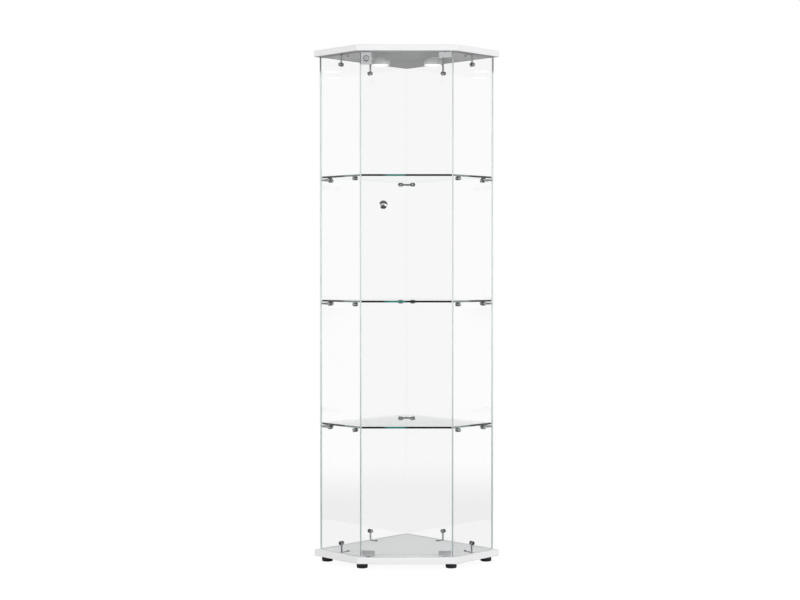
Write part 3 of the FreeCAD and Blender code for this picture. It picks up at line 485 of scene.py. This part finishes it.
# %% Lamp lens and lamp wall
LENS_WHITE = (0.95, 0.95, 0.94)
LENS_GLOW_COLOR = (1.0, 0.99, 0.97)
LENS_GLOW = 1.15
WALL_DARK = (0.46, 0.465, 0.47)
WALL_PAINTED_GLOW_COLOR = (1.0, 0.99, 0.98)
WALL_PAINTED_GLOW = 0.22
NO_GLOW = (0.0, 0.0, 0.0)
GLOW_OUTER = 0.35  # share of the glow on the side away from the other lamp
GLOW_START = 0.002  # the glow starts this far under the top of the wall
GLOW_FULL = 0.001  # and is full this far over its foot
GLOW_INSET = 0.012  # the glow grows inwards between lines this far from the two sides

lens_tree, lens_shader, _ = grained("lamp_diffuser", LENS_WHITE, 0.4, 0.01, Drift=0.01)
feed(lens_tree, lens_shader, {"Emission Color": LENS_GLOW_COLOR, "Emission Strength": LENS_GLOW})

lamp_low, lamp_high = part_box("lamp_housing_right")
wall_tree, wall_shader, _ = grained("lamp_wall", WALL_DARK, 0.45, 0.01, Drift=0.03)
# painted light: the wall glows, brighter towards the lens and towards the other lamp
down = fade(wall_tree, lamp_high.z - GLOW_START, lamp_low.z + GLOW_FULL, UPWARDS)
inwards = fade(wall_tree, lamp_high.x - GLOW_INSET, lamp_low.x + GLOW_INSET, mirrored=1.0)
share = calculate(wall_tree, "MULTIPLY_ADD", inwards, 1.0 - GLOW_OUTER, GLOW_OUTER)
painted_glow_mask = calculate(wall_tree, "MULTIPLY", down, share)
painted_glow_color = mixed_color(wall_tree, painted_glow_mask, NO_GLOW, WALL_PAINTED_GLOW_COLOR)
feed(wall_tree, wall_shader, {"Emission Color": painted_glow_color, "Emission Strength": WALL_PAINTED_GLOW})
print("lens glow", LENS_GLOW, "wall glow", WALL_PAINTED_GLOW)

# %% [markdown]
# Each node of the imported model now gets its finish, as the record names it. The pieces that are
# made anew below take the place of some of these nodes.

# %% Finish every node
finish_of = {part["node"]: part["material_slot"] for part in frame["record"]["subparts"]}
body_of = {n: b for b, ns in frame["record"]["behaviour"]["bodies"].items() for n in ns}
OTHER_FINISH = {"board_screws": "dark_screw"}  # where a look differs from the record's finish
for node_name, node in nodes.items():
    node.data.materials.clear()
    node.data.materials.append(materials[OTHER_FINISH.get(node_name, finish_of[node_name])])
print("finished", len(nodes), "nodes with", len(materials), "materials")

# %% [markdown]
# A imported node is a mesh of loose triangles. Where a piece needs more than one finish or softer
# edges, a copy has its points merged and its flat faces joined, and stands for the node from then
# on. It rides on the node's body, so it moves with the door or stays with the case.

# %% Pieces from merged copies
MERGE_DISTANCE = 1e-6
FLAT_ANGLE = math.radians(0.5)
SMOOTH_ANGLE = math.radians(32)


def merged_copy(node_name):
    """A new object with the node's mesh, its points merged and its flat faces joined."""
    mesh = nodes[node_name].data.copy()
    for layer in [a.name for a in mesh.attributes if a.name in ("custom_normal", "sharp_face")]:
        mesh.attributes.remove(mesh.attributes[layer])
    cleaner = bmesh.new()
    cleaner.from_mesh(mesh)
    bmesh.ops.remove_doubles(cleaner, verts=cleaner.verts, dist=MERGE_DISTANCE)
    bmesh.ops.dissolve_limit(
        cleaner, angle_limit=FLAT_ANGLE, verts=cleaner.verts, edges=cleaner.edges
    )
    cleaner.to_mesh(mesh)
    cleaner.free()
    mesh.materials.clear()
    return bpy.data.objects.new(node_name + "_piece", mesh)


def show(piece, node_name):
    """The piece stands for this node and rides on its body."""
    bpy.context.scene.collection.objects.link(piece)
    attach(piece, body_of[node_name])
    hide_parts(node_name)


def shade(mesh):
    """Smooth shading, except over edges sharper than SMOOTH_ANGLE."""
    mesh.shade_smooth()
    mesh.set_sharp_from_angle(angle=SMOOTH_ANGLE)


def of_faces(mesh, what):
    """One row of three numbers for each face: its "normal" or its "center"."""
    numbers = np.empty(len(mesh.polygons) * 3, np.float32)
    mesh.polygons.foreach_get(what, numbers)
    return numbers.reshape(-1, 3)


# %% [markdown]
# A pane is one solid with several finishes. A face belongs to the cut edge when its normal isn't
# along the pane's own direction, the one across its thickness, so the narrow ground bevels count as
# edge too. On a shelf that direction is up, and the edges that look forwards and rearwards are told
# from the others by their normals. On an upright pane it is the top and bottom edges that are told
# apart, and the joint in the rear corner, where each edge only shows the glass of the other pane. The
# walls of the clamp holes lie inside the outline. Their dark colour is a painted shade for the bolt
# and the shadow in the hole.

# %% Panes
DIAGONAL = math.sqrt(0.5)
STRAIGHT = 0.9  # a normal this far along a direction points that way
LEVEL_SHARE = DIAGONAL / 2  # least Z of the normal of a level edge
REARWARD_SHARE = 0.3  # least Y of the normal of an edge that faces the rear
SIDEWAYS_SHARE = 0.3  # a shelf's front edge has a normal with less X than this
REAR_JOINT = 0.01  # half the width of the zone in which the back panes meet
HOLE_MARGIN = 0.005  # the wall of a hole is further than this from every outer edge
PANE_DIRECTIONS = {
    "door_glass": (0.0, 1.0, 0.0),
    "side_glass_right": (DIAGONAL, -DIAGONAL, 0.0),
    "side_glass_left": (DIAGONAL, DIAGONAL, 0.0),
    "back_glass_right": (DIAGONAL, DIAGONAL, 0.0),
    "back_glass_left": (DIAGONAL, -DIAGONAL, 0.0),
    "shelf_lower": UPWARDS,
    "shelf_middle": UPWARDS,
    "shelf_upper": UPWARDS,
}


def inside(values):
    """Marks the values that are further than HOLE_MARGIN from the lowest and the highest."""
    return (values > values.min() + HOLE_MARGIN) & (values < values.max() - HOLE_MARGIN)


def pane(node_name, direction):
    """A pane with finish 0 on its faces, 1 on its cut edges, 2 on far edges and 3 on special ones."""
    piece = merged_copy(node_name)
    normals = of_faces(piece.data, "normal")
    centres = of_faces(piece.data, "center")
    edge = np.abs(normals @ np.array(direction)) < STRAIGHT
    if node_name.startswith("shelf"):
        finishes = ["shelf_glass", "shelf_side_edge", "far_edge", "shelf_front_edge"]
        far = normals[:, 1] > REARWARD_SHARE
        special = edge & (np.abs(normals[:, 0]) < SIDEWAYS_SHARE) & ~far
    else:
        upright = "outer_edge" if node_name.startswith("back") else "upright_edge"
        finishes = ["clear_glass", upright, "far_edge", "hole_wall"]
        far = (np.abs(normals[:, 2]) > LEVEL_SHARE) | (np.abs(centres[:, 0]) < REAR_JOINT)
        special = edge & inside(centres @ np.cross(direction, UPWARDS)) & inside(centres[:, 2])
    for name in finishes:
        piece.data.materials.append(materials[name])
    finish_number = np.where(special, 3, np.where(edge & far, 2, edge))
    piece.data.polygons.foreach_set("material_index", finish_number.astype(np.int32))
    piece.data.shade_flat()
    show(piece, node_name)


for node_name, direction in PANE_DIRECTIONS.items():
    pane(node_name, direction)
print("panes", len(PANE_DIRECTIONS))

# %% [markdown]
# Stamped and milled metal never has knife-sharp edges: a narrow rounded edge catches the light in
# a thin bright line. The box-like pieces are copies of their nodes with a live Bevel, which rounds
# only true edges because it skips the small angles of the curved faces.

# %% Softened pieces
BEVEL_SEGMENTS = 2
BEVELS_MM = {
    "hinge_clip_top": 0.5,
    "hinge_clip_bottom": 0.5,
    "catch_clip": 0.5,
    "lock_plate": 0.5,
    "lock_strike": 0.2,
    "catch_holder": 0.3,
    "hinge_plates": 0.2,
    "lock_cam": 0.25,
    "lock_nut": 0.4,
}
for node_name in [n for n in nodes if "bracket" in n]:
    BEVELS_MM[node_name] = 0.4
    OTHER_FINISH[node_name] = "bracket_metal"
for node_name in ("lamp_housing_left", "lamp_housing_right"):
    BEVELS_MM[node_name] = 0.3
    OTHER_FINISH[node_name] = "lamp_wall"


def softened(node_name, width_mm):
    """A copy of the node whose true edges are rounded by a Bevel of that width."""
    piece = merged_copy(node_name)
    finish = OTHER_FINISH.get(node_name, finish_of[node_name])
    piece.data.materials.append(materials[finish])
    shade(piece.data)
    bevel = piece.modifiers.new("rounded_edges", "BEVEL")
    bevel.width = width_mm / 1000
    bevel.segments = BEVEL_SEGMENTS
    bevel.limit_method = "ANGLE"
    bevel.angle_limit = SMOOTH_ANGLE
    bevel.harden_normals = True
    show(piece, node_name)


for node_name, width_mm in BEVELS_MM.items():
    softened(node_name, width_mm)
print("softened", len(BEVELS_MM))

# %% [markdown]
# The knob, the lock's ring, the feet and the caps are turned parts: one outline carried round an
# axis. The outline is a few corners, each rounded by a short curve, and the surface is a grid with
# one row for each outline point and one column for each step round the axis.

# %% Outline and grid
CURVE_STEPS = 5
AROUND = 96


def rounded_outline(corners, radii):
    """Each inner corner becomes a quadratic curve between points that far along its two legs."""
    corners = np.array(corners, float)
    points = [corners[:1]]
    t = np.linspace(0.0, 1.0, CURVE_STEPS)[:, None]
    for before, at, after, radius in zip(corners, corners[1:], corners[2:], radii):
        start = at + (before - at) * radius / np.linalg.norm(before - at)
        stop = at + (after - at) * radius / np.linalg.norm(after - at)
        points.append((1 - t) ** 2 * start + 2 * t * (1 - t) * at + t**2 * stop)
    points.append(corners[-1:])
    return np.vstack(points)


def basis(axis):
    """Two directions at right angles to the axis and to each other, so that u x v = axis."""
    axis = np.array(axis, float) / np.linalg.norm(axis)
    helper = np.array(UPWARDS if abs(axis[2]) < STRAIGHT else SIDEWAYS)
    u = np.cross(helper, axis)
    u /= np.linalg.norm(u)
    return u, np.cross(axis, u), axis


def turned_grid(outline, centre, axis, around):
    """Point(i, j) = centre + r_i (cos a_j u + sin a_j v) + h_i axis, and the quads between."""
    u, v, w = basis(axis)
    angle = np.arange(around) * (2 * math.pi / around)
    ring = np.cos(angle)[:, None] * u + np.sin(angle)[:, None] * v
    points = outline[:, :1, None] * ring[None] + outline[:, 1:, None] * w + np.array(centre)
    rows = np.arange(len(outline) - 1)[:, None] * around
    j = np.arange(around)[None]
    k = (j + 1) % around
    quads = np.stack([rows + j, rows + k, rows + around + k, rows + around + j], -1)
    return points.reshape(-1, 3), quads.reshape(-1, 4)


# %% [markdown]
# At the poles a whole row of grid points falls on one place, so those are merged, and the normals
# are then made to face outwards. Several grids may share one mesh, as the caps do.

# %% Mesh of grids
def mesh_of(name, grids):
    """One mesh of several grids. Points at the poles are merged and normals made to face out."""
    starts = np.cumsum([0] + [len(points) for points, _ in grids])
    points = np.vstack([points for points, _ in grids])
    quads = np.vstack([quads + start for (_, quads), start in zip(grids, starts)])
    mesh = bpy.data.meshes.new(name)
    mesh.from_pydata(points.tolist(), [], quads.tolist())
    cleaner = bmesh.new()
    cleaner.from_mesh(mesh)
    bmesh.ops.remove_doubles(cleaner, verts=cleaner.verts, dist=MERGE_DISTANCE)
    bmesh.ops.recalc_face_normals(cleaner, faces=cleaner.faces)
    cleaner.to_mesh(mesh)
    cleaner.free()
    shade(mesh)
    return mesh


def turned(name, grids, finish, node_name):
    """A piece of turned grids, which stands for the node. Returns it."""
    mesh = mesh_of(name, grids)
    mesh.materials.append(materials[finish])
    piece = bpy.data.objects.new(name, mesh)
    show(piece, node_name)
    return piece


# %% [markdown]
# The knob is a polished ball on a short neck with a flat foot. Its outline follows the node: the
# ball's circle as a formula, and the neck and foot as rounded corners.

# %% Knob
FORWARD = (0.0, -1.0, 0.0)
KNOB_FOOT_R, KNOB_FOOT_T, KNOB_NECK_R = 0.008, 0.0015, 0.0045
KNOB_ROUNDINGS = [0.0002, 0.0005, 0.0006]
BALL_STEPS = 49
knob_low, knob_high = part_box("knob")
KNOB_R = (knob_high.z - knob_low.z) / 2
knob_centre = ((knob_low.x + knob_high.x) / 2, knob_high.y, (knob_low.z + knob_high.z) / 2)
ball_height = knob_high.y - knob_low.y - KNOB_R
neck_angle = math.asin(KNOB_NECK_R / KNOB_R)
polar = np.linspace(math.pi - neck_angle, 0.0, BALL_STEPS)
ball = np.column_stack([KNOB_R * np.sin(polar), ball_height + KNOB_R * np.cos(polar)])
stem = rounded_outline(
    [
        (0.0, 0.0),
        (KNOB_FOOT_R, 0.0),
        (KNOB_FOOT_R, KNOB_FOOT_T),
        (KNOB_NECK_R, KNOB_FOOT_T),
        tuple(ball[0]),
    ],
    KNOB_ROUNDINGS,
)
knob_outline = np.vstack([stem, ball[1:]])
turned("ball_knob", [turned_grid(knob_outline, knob_centre, FORWARD, AROUND)], "chrome", "knob")
print("knob radius mm", round(KNOB_R * 1000, 2))

# %% [markdown]
# The lock shows a ring round its plug. The ring falls away outwards in a broad slope of a darker
# metal, which mirrors the dark floor at the bottom, and its flat front is satin and bright. The
# barrel behind it is part of the same turned piece, as on a real cam lock. The outline starts and
# ends in the middle of the bore, so that the tube closes on itself.

# %% Lock ring and barrel
RING_T = 0.003  # how far the ring stands on its plate
BARREL_R = 0.008
RING_RIM = 0.0014  # height of the ring's outer rim
RING_FLAT_R = 0.0068  # the flat front reaches out to here
RING_FLAT_NORMAL = 0.97  # faces that point forwards this much are satin
RING_ROUNDINGS = [0.0002, 0.0005, 0.0001, 0.0001, 0.0003, 0.0004, 0.0001, 0.0001]
BORE_GAP = 0.00005
RECESS_SLOPE = 0.0003
lock_low, lock_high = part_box("lock_housing")
plug_low, plug_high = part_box("lock_plug")
RING_R = (lock_high.z - lock_low.z) / 2
BORE_R = (plug_high.z - plug_low.z) / 2 + BORE_GAP
lock_length = lock_high.y - lock_low.y
lock_rear = ((lock_low.x + lock_high.x) / 2, lock_high.y, (lock_low.z + lock_high.z) / 2)
lock_outline = rounded_outline(
    [
        (BORE_R, lock_length / 2),
        (BORE_R, 0.0),
        (BARREL_R, 0.0),
        (BARREL_R, lock_length - RING_T),
        (RING_R, lock_length - RING_T),
        (RING_R, lock_length - RING_T + RING_RIM),
        (RING_FLAT_R, lock_length),
        (BORE_R + RECESS_SLOPE, lock_length),
        (BORE_R, lock_length - RECESS_SLOPE),
        (BORE_R, lock_length / 2),
    ],
    RING_ROUNDINGS,
)
lock_grid = turned_grid(lock_outline, lock_rear, FORWARD, AROUND)
ring = turned("lock_ring", [lock_grid], "lock_metal", "lock_housing")
ring.data.materials.append(materials["satin_steel"])
ring_flat = of_faces(ring.data, "normal")[:, 1] < -RING_FLAT_NORMAL
ring.data.polygons.foreach_set("material_index", ring_flat.astype(np.int32))
print("ring radius mm", round(RING_R * 1000, 2), "bore radius mm", round(BORE_R * 1000, 2))

# %% [markdown]
# The face of the plug is satin too, with a painted shade round its keyway, where the slot lies in
# shade. A mask made from the distance to the lock's axis blends the two. The node's own shape is
# right, so it only gets another material.

# %% Lock plug
PLUG_FACE = (0.92, 0.93, 0.94)
PLUG_KEYWAY_SHADE = (0.50, 0.505, 0.51)
ACROSS_AXIS = (1.0, 0.0, 1.0)  # keeps X and Z and drops Y, which runs along the lock
SHADE_DARK_R, SHADE_CLEAR_R = 0.0018, 0.0036


def vector_math(tree, operation, *values):
    """A Vector Math node on vectors or sockets."""
    return add(tree, "ShaderNodeVectorMath", dict(enumerate(values)), operation=operation)


plug_tree, _, plug_grain = polished("lock_plug", PLUG_FACE, 0.40, 0.0005, Drift=0.02)
plug_place = add(plug_tree, "ShaderNodeTexCoord").outputs["Object"]
from_axis = vector_math(plug_tree, "SUBTRACT", plug_place, lock_rear)
across_axis = vector_math(plug_tree, "MULTIPLY", from_axis.outputs[0], ACROSS_AXIS)
axis_distance = vector_math(plug_tree, "LENGTH", across_axis.outputs[0]).outputs["Value"]
# painted shade: dark round the keyway, clear further out
keyway_shade = smooth_step(plug_tree, axis_distance, SHADE_DARK_R, SHADE_CLEAR_R)
feed(plug_tree, plug_grain, {"Color": mixed_color(plug_tree, keyway_shade, PLUG_KEYWAY_SHADE, PLUG_FACE)})
nodes["lock_plug"].data.materials[0] = materials["lock_plug"]
print("plug dark within mm", SHADE_DARK_R * 1000, "and clear from mm", SHADE_CLEAR_R * 1000)

# %% [markdown]
# The feet are moulded discs with a rounded lower rim and a narrow groove where the disc meets the
# pad that touches the floor. Each takes its place and size from its node.

# %% Feet
FOOT_AROUND = 64
FOOT_ROUNDINGS = [0.0006, 0.0001, 0.0001, 0.0001, 0.0001, 0.0025]
GROOVE_TOP, GROOVE_BOTTOM = 0.0065, 0.0053  # above the floor
GROOVE_SLOPE = 0.0003  # height of each sloping side of the groove
GROOVE_DEPTH = 0.0006


def foot(node_name):
    """A turned foot of its node's radius and height, at its node's place."""
    low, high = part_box(node_name)
    radius = (high.x - low.x) / 2
    height = high.z - low.z
    centre = ((low.x + high.x) / 2, (low.y + high.y) / 2, low.z)
    outline = rounded_outline(
        [
            (0.0, height),
            (radius, height),
            (radius, GROOVE_TOP),
            (radius - GROOVE_DEPTH, GROOVE_TOP - GROOVE_SLOPE),
            (radius - GROOVE_DEPTH, GROOVE_BOTTOM + GROOVE_SLOPE),
            (radius, GROOVE_BOTTOM),
            (radius, 0.0),
            (0.0, 0.0),
        ],
        FOOT_ROUNDINGS,
    )
    grid = turned_grid(outline, centre, UPWARDS, FOOT_AROUND)
    turned(node_name + "_piece", [grid], "black_plastic", node_name)


feet = [n for n in nodes if n.startswith("foot_") and n != "foot_screws"]
for node_name in feet:
    foot(node_name)
print("feet", len(feet))

# %% [markdown]
# Sixty-odd small caps and pins hold the glass. They are alike, so one outline serves for all. Each
# one is a loose part of its node's mesh: the parts are told apart by letting every point take the
# lowest number among its neighbours until nothing changes.

# %% Loose parts
def loose_parts(node_name):
    """Point arrays, one for each solid of the node."""
    copy = merged_copy(node_name)
    mesh = copy.data
    points = np.empty(len(mesh.vertices) * 3, np.float32)
    mesh.vertices.foreach_get("co", points)
    points = points.reshape(-1, 3)
    edges = np.empty(len(mesh.edges) * 2, np.int32)
    mesh.edges.foreach_get("vertices", edges)
    first, second = edges.reshape(-1, 2).T
    label = np.arange(len(points))
    while True:
        lowest = label.copy()
        np.minimum.at(lowest, first, label[second])
        np.minimum.at(lowest, second, label[first])
        if np.array_equal(lowest, label):
            break
        label = lowest
    bpy.data.objects.remove(copy)
    return [points[label == number] for number in np.unique(label)]


# %% [markdown]
# Every cap lies flat on a side pane or a back pane, so its axis runs across that pane. Seen along
# its axis, a round cap is as wide as it is high, and that tells which of the two directions it is.
# Its front is slightly crowned and its rim soft.

# %% Clamp caps
CAP_AROUND = 28
CAP_CROWN = 0.00025
CAP_SHOULDER_R = 0.55  # share of the radius at which the crown's slope changes
CAP_SHOULDER_DROP = 0.4  # share of the crown by which it is lower there than in the middle
CAP_ROUNDINGS = [0.0001, 0.0009, 0.001]
ACROSS_PANES = np.array([(DIAGONAL, DIAGONAL, 0.0), (DIAGONAL, -DIAGONAL, 0.0)])
CAP_NODES = {"clamp_caps_outer": 1, "clamp_caps_inner": -1, "shelf_pins": -1}  # 1 faces outwards


def cap_axis(points):
    """Of the two directions across panes, the one from whose side the cap is as wide as high."""
    widths = np.ptp(points @ ACROSS_PANES[::-1].T, axis=0)
    return ACROSS_PANES[np.argmin(np.abs(widths - np.ptp(points[:, 2])))]


def cap_grid(points, outwards):
    """A crowned disc with a soft rim, from the points of one cap. outwards is 1 or -1."""
    centre = points.mean(0)
    axis = cap_axis(points)
    radial = np.array([centre[0], centre[1], 0.0])
    axis = axis * np.sign(axis @ radial) * outwards
    along = (points - centre) @ axis
    across = points - centre - along[:, None] * axis
    radius = np.linalg.norm(across, axis=1).max()
    depth = along.max() - along.min()
    outline = rounded_outline(
        [
            (0.0, 0.0),
            (radius, 0.0),
            (radius, depth - CAP_CROWN),
            (radius * CAP_SHOULDER_R, depth - CAP_CROWN * CAP_SHOULDER_DROP),
            (0.0, depth),
        ],
        CAP_ROUNDINGS,
    )
    return turned_grid(outline, centre + axis * along.min(), axis, CAP_AROUND)


for node_name, outwards in CAP_NODES.items():
    grids = [cap_grid(points, outwards) for points in loose_parts(node_name)]
    turned(node_name + "_piece", grids, "cap_metal", node_name)
    print(node_name, len(grids))

# %% [markdown]
# Three broad soft lights: two well to the sides, a little lower than the cabinet's middle, and a
# weak one overhead. A fourth and weaker lamp stands just in front of the right one, so the right
# side is a little brighter than the left. It is the only lamp that metal and glass mirror: the knob
# shows one highlight, on its right, and the small caps glare less. It can't share the right one's
# place exactly, because a mirrored ray would then meet only the lamp that metal doesn't mirror.

# %% Soft lights
LIGHT_SIDE = 2.0
LIGHT_HEIGHT = 0.7
KEY_PLACE = (3.2, -2.65, LIGHT_HEIGHT)
GLINT_PLACE = (3.1, -2.57, LIGHT_HEIGHT)
FILL_PLACE = (-3.2, -2.65, LIGHT_HEIGHT)
OVERHEAD_PLACE = (0.0, -0.6, 3.6)
KEY_W, GLINT_W, FILL_W, OVERHEAD_W = 80.0, 28.0, 90.0, 2.0
MIDDLE = (0.0, 0.0, (cad_low.z + cad_high.z) / 2)
FOOT_OF_CABINET = (0.0, 0.0, 0.0)


def soft_light(name, place, target, power, mirrored=False):
    """A square lamp that points at the target. Metal and glass mirror it only if mirrored."""
    data = bpy.data.lights.new(name, "AREA")
    data.shape = "RECTANGLE"
    data.size = LIGHT_SIDE
    data.size_y = LIGHT_SIDE
    data.energy = power
    light = bpy.data.objects.new(name, data)
    bpy.context.scene.collection.objects.link(light)
    light.location = place
    aim = np.array(target) - np.array(place)
    level = math.hypot(aim[0], aim[1])
    light.rotation_euler = (math.atan2(level, -aim[2]), 0.0, math.atan2(aim[0], -aim[1]) + math.pi)
    light.visible_glossy = mirrored


soft_light("key", KEY_PLACE, MIDDLE, KEY_W)
soft_light("glint", GLINT_PLACE, MIDDLE, GLINT_W, mirrored=True)
soft_light("fill", FILL_PLACE, MIDDLE, FILL_W)
soft_light("overhead", OVERHEAD_PLACE, FOOT_OF_CABINET, OVERHEAD_W)
print("lights", KEY_W, GLINT_W, FILL_W, OVERHEAD_W)

# %% [markdown]
# The room and the floor are seen in three ways, told apart by how a ray got there: straight or
# through glass, after a mirror, or after a matt bounce. Light that is sampled straight from the
# room has no kind of ray at all, so "seen" needs one of the camera, glossy or transmission kinds,
# and no matt bounce before it.

# %% Ray masks
WHITE = (1.0, 1.0, 1.0)
HALF = 0.5  # between no bounce and one


def ray_masks(tree):
    """Two masks: the ray shows something to the camera, and it was mirrored on its way."""
    rays = add(tree, "ShaderNodeLightPath").outputs
    kinds = calculate(tree, "MAXIMUM", rays["Is Glossy Ray"], rays["Is Transmission Ray"])
    kinds = calculate(tree, "MAXIMUM", rays["Is Camera Ray"], kinds)
    not_matt = calculate(tree, "LESS_THAN", rays["Diffuse Depth"], HALF)
    seen = calculate(tree, "MULTIPLY", kinds, not_matt)
    return seen, calculate(tree, "GREATER_THAN", rays["Glossy Depth"], HALF)


# %% [markdown]
# The camera sees the room plain white, also through the glass. Matt surfaces are lit by it evenly.
# Polished metal needs something to mirror, or it looks like white paint: a ray that was mirrored on
# its way sees a pale strip round the horizon, a paler wall that reaches higher in front, and a dark
# grey room elsewhere. The strip is narrow for metal, but it is all that the side glass mirrors, so
# that glass stays clear. A small patch straight in front is dark, like the place where a camera
# stands: the door mirrors only that patch, so the black edges of the shelves stay black behind it.
# The rear is duller as well, which gives round metal a darker rim.
# The room's own direction coordinates shape that, so it stays where it is when the camera moves.

# %% Room
ROOM_LIGHT = 0.85
ROOM_GREY = 0.12
WALL_LIGHT = 0.92
WALL_FULL, WALL_END = 0.36, 0.76  # sine of the angle above the horizon
STRIP_LIGHT = 0.82
STRIP_FULL, STRIP_END = 0.16, 0.24
STRIP_FRONT = 0.80  # the strip is a little duller in front
SIDE_START, SIDE_END = 0.35, 0.80  # how far a direction points forwards
PATCH_START, PATCH_FULL = 0.972, 0.99
PATCH_SHARE = 0.28  # of the light that the wall and strip would have there
REAR_START, REAR_FULL = 0.25, 0.75  # how far a direction points to the rear
REAR_SHARE = 0.45

world = bpy.data.worlds.new("studio")
bpy.context.scene.world = world
world.use_nodes = True
room = world.node_tree
room_direction = add(room, "ShaderNodeTexCoord").outputs["Generated"]
room_parts = add(room, "ShaderNodeSeparateXYZ", {0: room_direction}).outputs
height, ahead = room_parts["Z"], room_parts["Y"]


def background(strength):
    """A white room of that strength, a number or a socket."""
    return add(room, "ShaderNodeBackground", {"Color": WHITE, "Strength": strength})


strip_height = smooth_step(room, height, STRIP_FULL, STRIP_END, 1.0, 0.0)
strip_light = smooth_step(room, ahead, -SIDE_END, -SIDE_START, STRIP_FRONT, STRIP_LIGHT)
strip = calculate(room, "MULTIPLY", strip_height, strip_light)
wall_light = smooth_step(room, height, WALL_FULL, WALL_END, WALL_LIGHT, 0.0)
wall_width = smooth_step(room, ahead, -SIDE_END, -SIDE_START, 1.0, 0.0)
wall = calculate(room, "MULTIPLY", wall_light, wall_width)
patch = smooth_step(room, ahead, -PATCH_FULL, -PATCH_START, PATCH_SHARE, 1.0)
rear = smooth_step(room, ahead, REAR_START, REAR_FULL, 1.0, REAR_SHARE)
shares = calculate(room, "MULTIPLY", patch, rear)
lit = calculate(room, "MULTIPLY", calculate(room, "MAXIMUM", strip, wall), shares)
mirrored_room = background(calculate(room, "MAXIMUM", lit, ROOM_GREY))
room_seen, room_mirrored = ray_masks(room)
shown = mixed_shader(room, room_mirrored, background(1.0), mirrored_room)
whole = mixed_shader(room, room_seen, background(ROOM_LIGHT), shown)
feed(room, room.nodes["World Output"], {"Surface": whole.outputs[0]})
print("room light", ROOM_LIGHT, "room grey", ROOM_GREY)

# %% [markdown]
# The floor is matt. Its own colour is dark, so that little light bounces off it and the underside
# of the roof board stays grey. Where the camera looks at it, a steady glow is added: open floor
# comes out white, and a shadow under the cabinet stays. Metal and glass mirror the floor nearby
# without that glow, and the floor in front with little of it.
# Far away the floor turns wholly into glow, so there is no line where it meets the room.

# %% Floor
FLOOR_HALF = 30.0
FLOOR_GREY = 0.06
FLOOR_ROUGHNESS = 0.9
NEAR_GLOW = 0.95
FADE_START, FADE_END = 1.2, 3.5  # metres from the middle of the cabinet
MIRRORED_START, MIRRORED_END = 1.2, 2.4
MIRRORED_GLOW = 0.85
FRONT_START, FRONT_DARK = -0.8, -1.8  # Y at which the mirrored floor starts to darken, is dark
FRONT_SHARE = 0.22  # of the mirrored glow that is left there

floor_mesh = bpy.data.meshes.new("studio_floor")
corners = [(x * FLOOR_HALF, y * FLOOR_HALF, 0.0) for x, y in [(-1, -1), (1, -1), (1, 1), (-1, 1)]]
floor_mesh.from_pydata(corners, [], [(0, 1, 2, 3)])
floor = bpy.data.objects.new("studio_floor", floor_mesh)
bpy.context.scene.collection.objects.link(floor)

floor_tree, floor_shader = new_material("studio_floor", (FLOOR_GREY,) * 3, FLOOR_ROUGHNESS)
floor_mesh.materials.append(materials["studio_floor"])
floor_place = add(floor_tree, "ShaderNodeTexCoord").outputs["Object"]
distance = vector_math(floor_tree, "LENGTH", floor_place).outputs["Value"]
floor_y = add(floor_tree, "ShaderNodeSeparateXYZ", {0: floor_place}).outputs["Y"]
floor_seen, floor_mirrored = ray_masks(floor_tree)

plain_glow = smooth_step(floor_tree, distance, FADE_START, FADE_END, NEAR_GLOW, 1.0)
far_glow = smooth_step(floor_tree, distance, MIRRORED_START, MIRRORED_END, 0.0, MIRRORED_GLOW)
front_share = smooth_step(floor_tree, floor_y, FRONT_DARK, FRONT_START, FRONT_SHARE, 1.0)
mirrored_glow = calculate(floor_tree, "MULTIPLY", far_glow, front_share)
glow_seen = mixed_value(floor_tree, floor_mirrored, plain_glow, mirrored_glow)
glow = mixed_value(floor_tree, floor_seen, 0.0, glow_seen)
grey_seen = smooth_step(floor_tree, distance, FADE_START, FADE_END, FLOOR_GREY, 0.0)
grey = mixed_value(floor_tree, floor_seen, FLOOR_GREY, grey_seen)
feed(floor_tree, floor_shader, {"Specular IOR Level": 0.0, "Base Color": grey})
feed(floor_tree, floor_shader, {"Emission Color": WHITE, "Emission Strength": glow})
print("floor", FLOOR_HALF * 2, "m across")
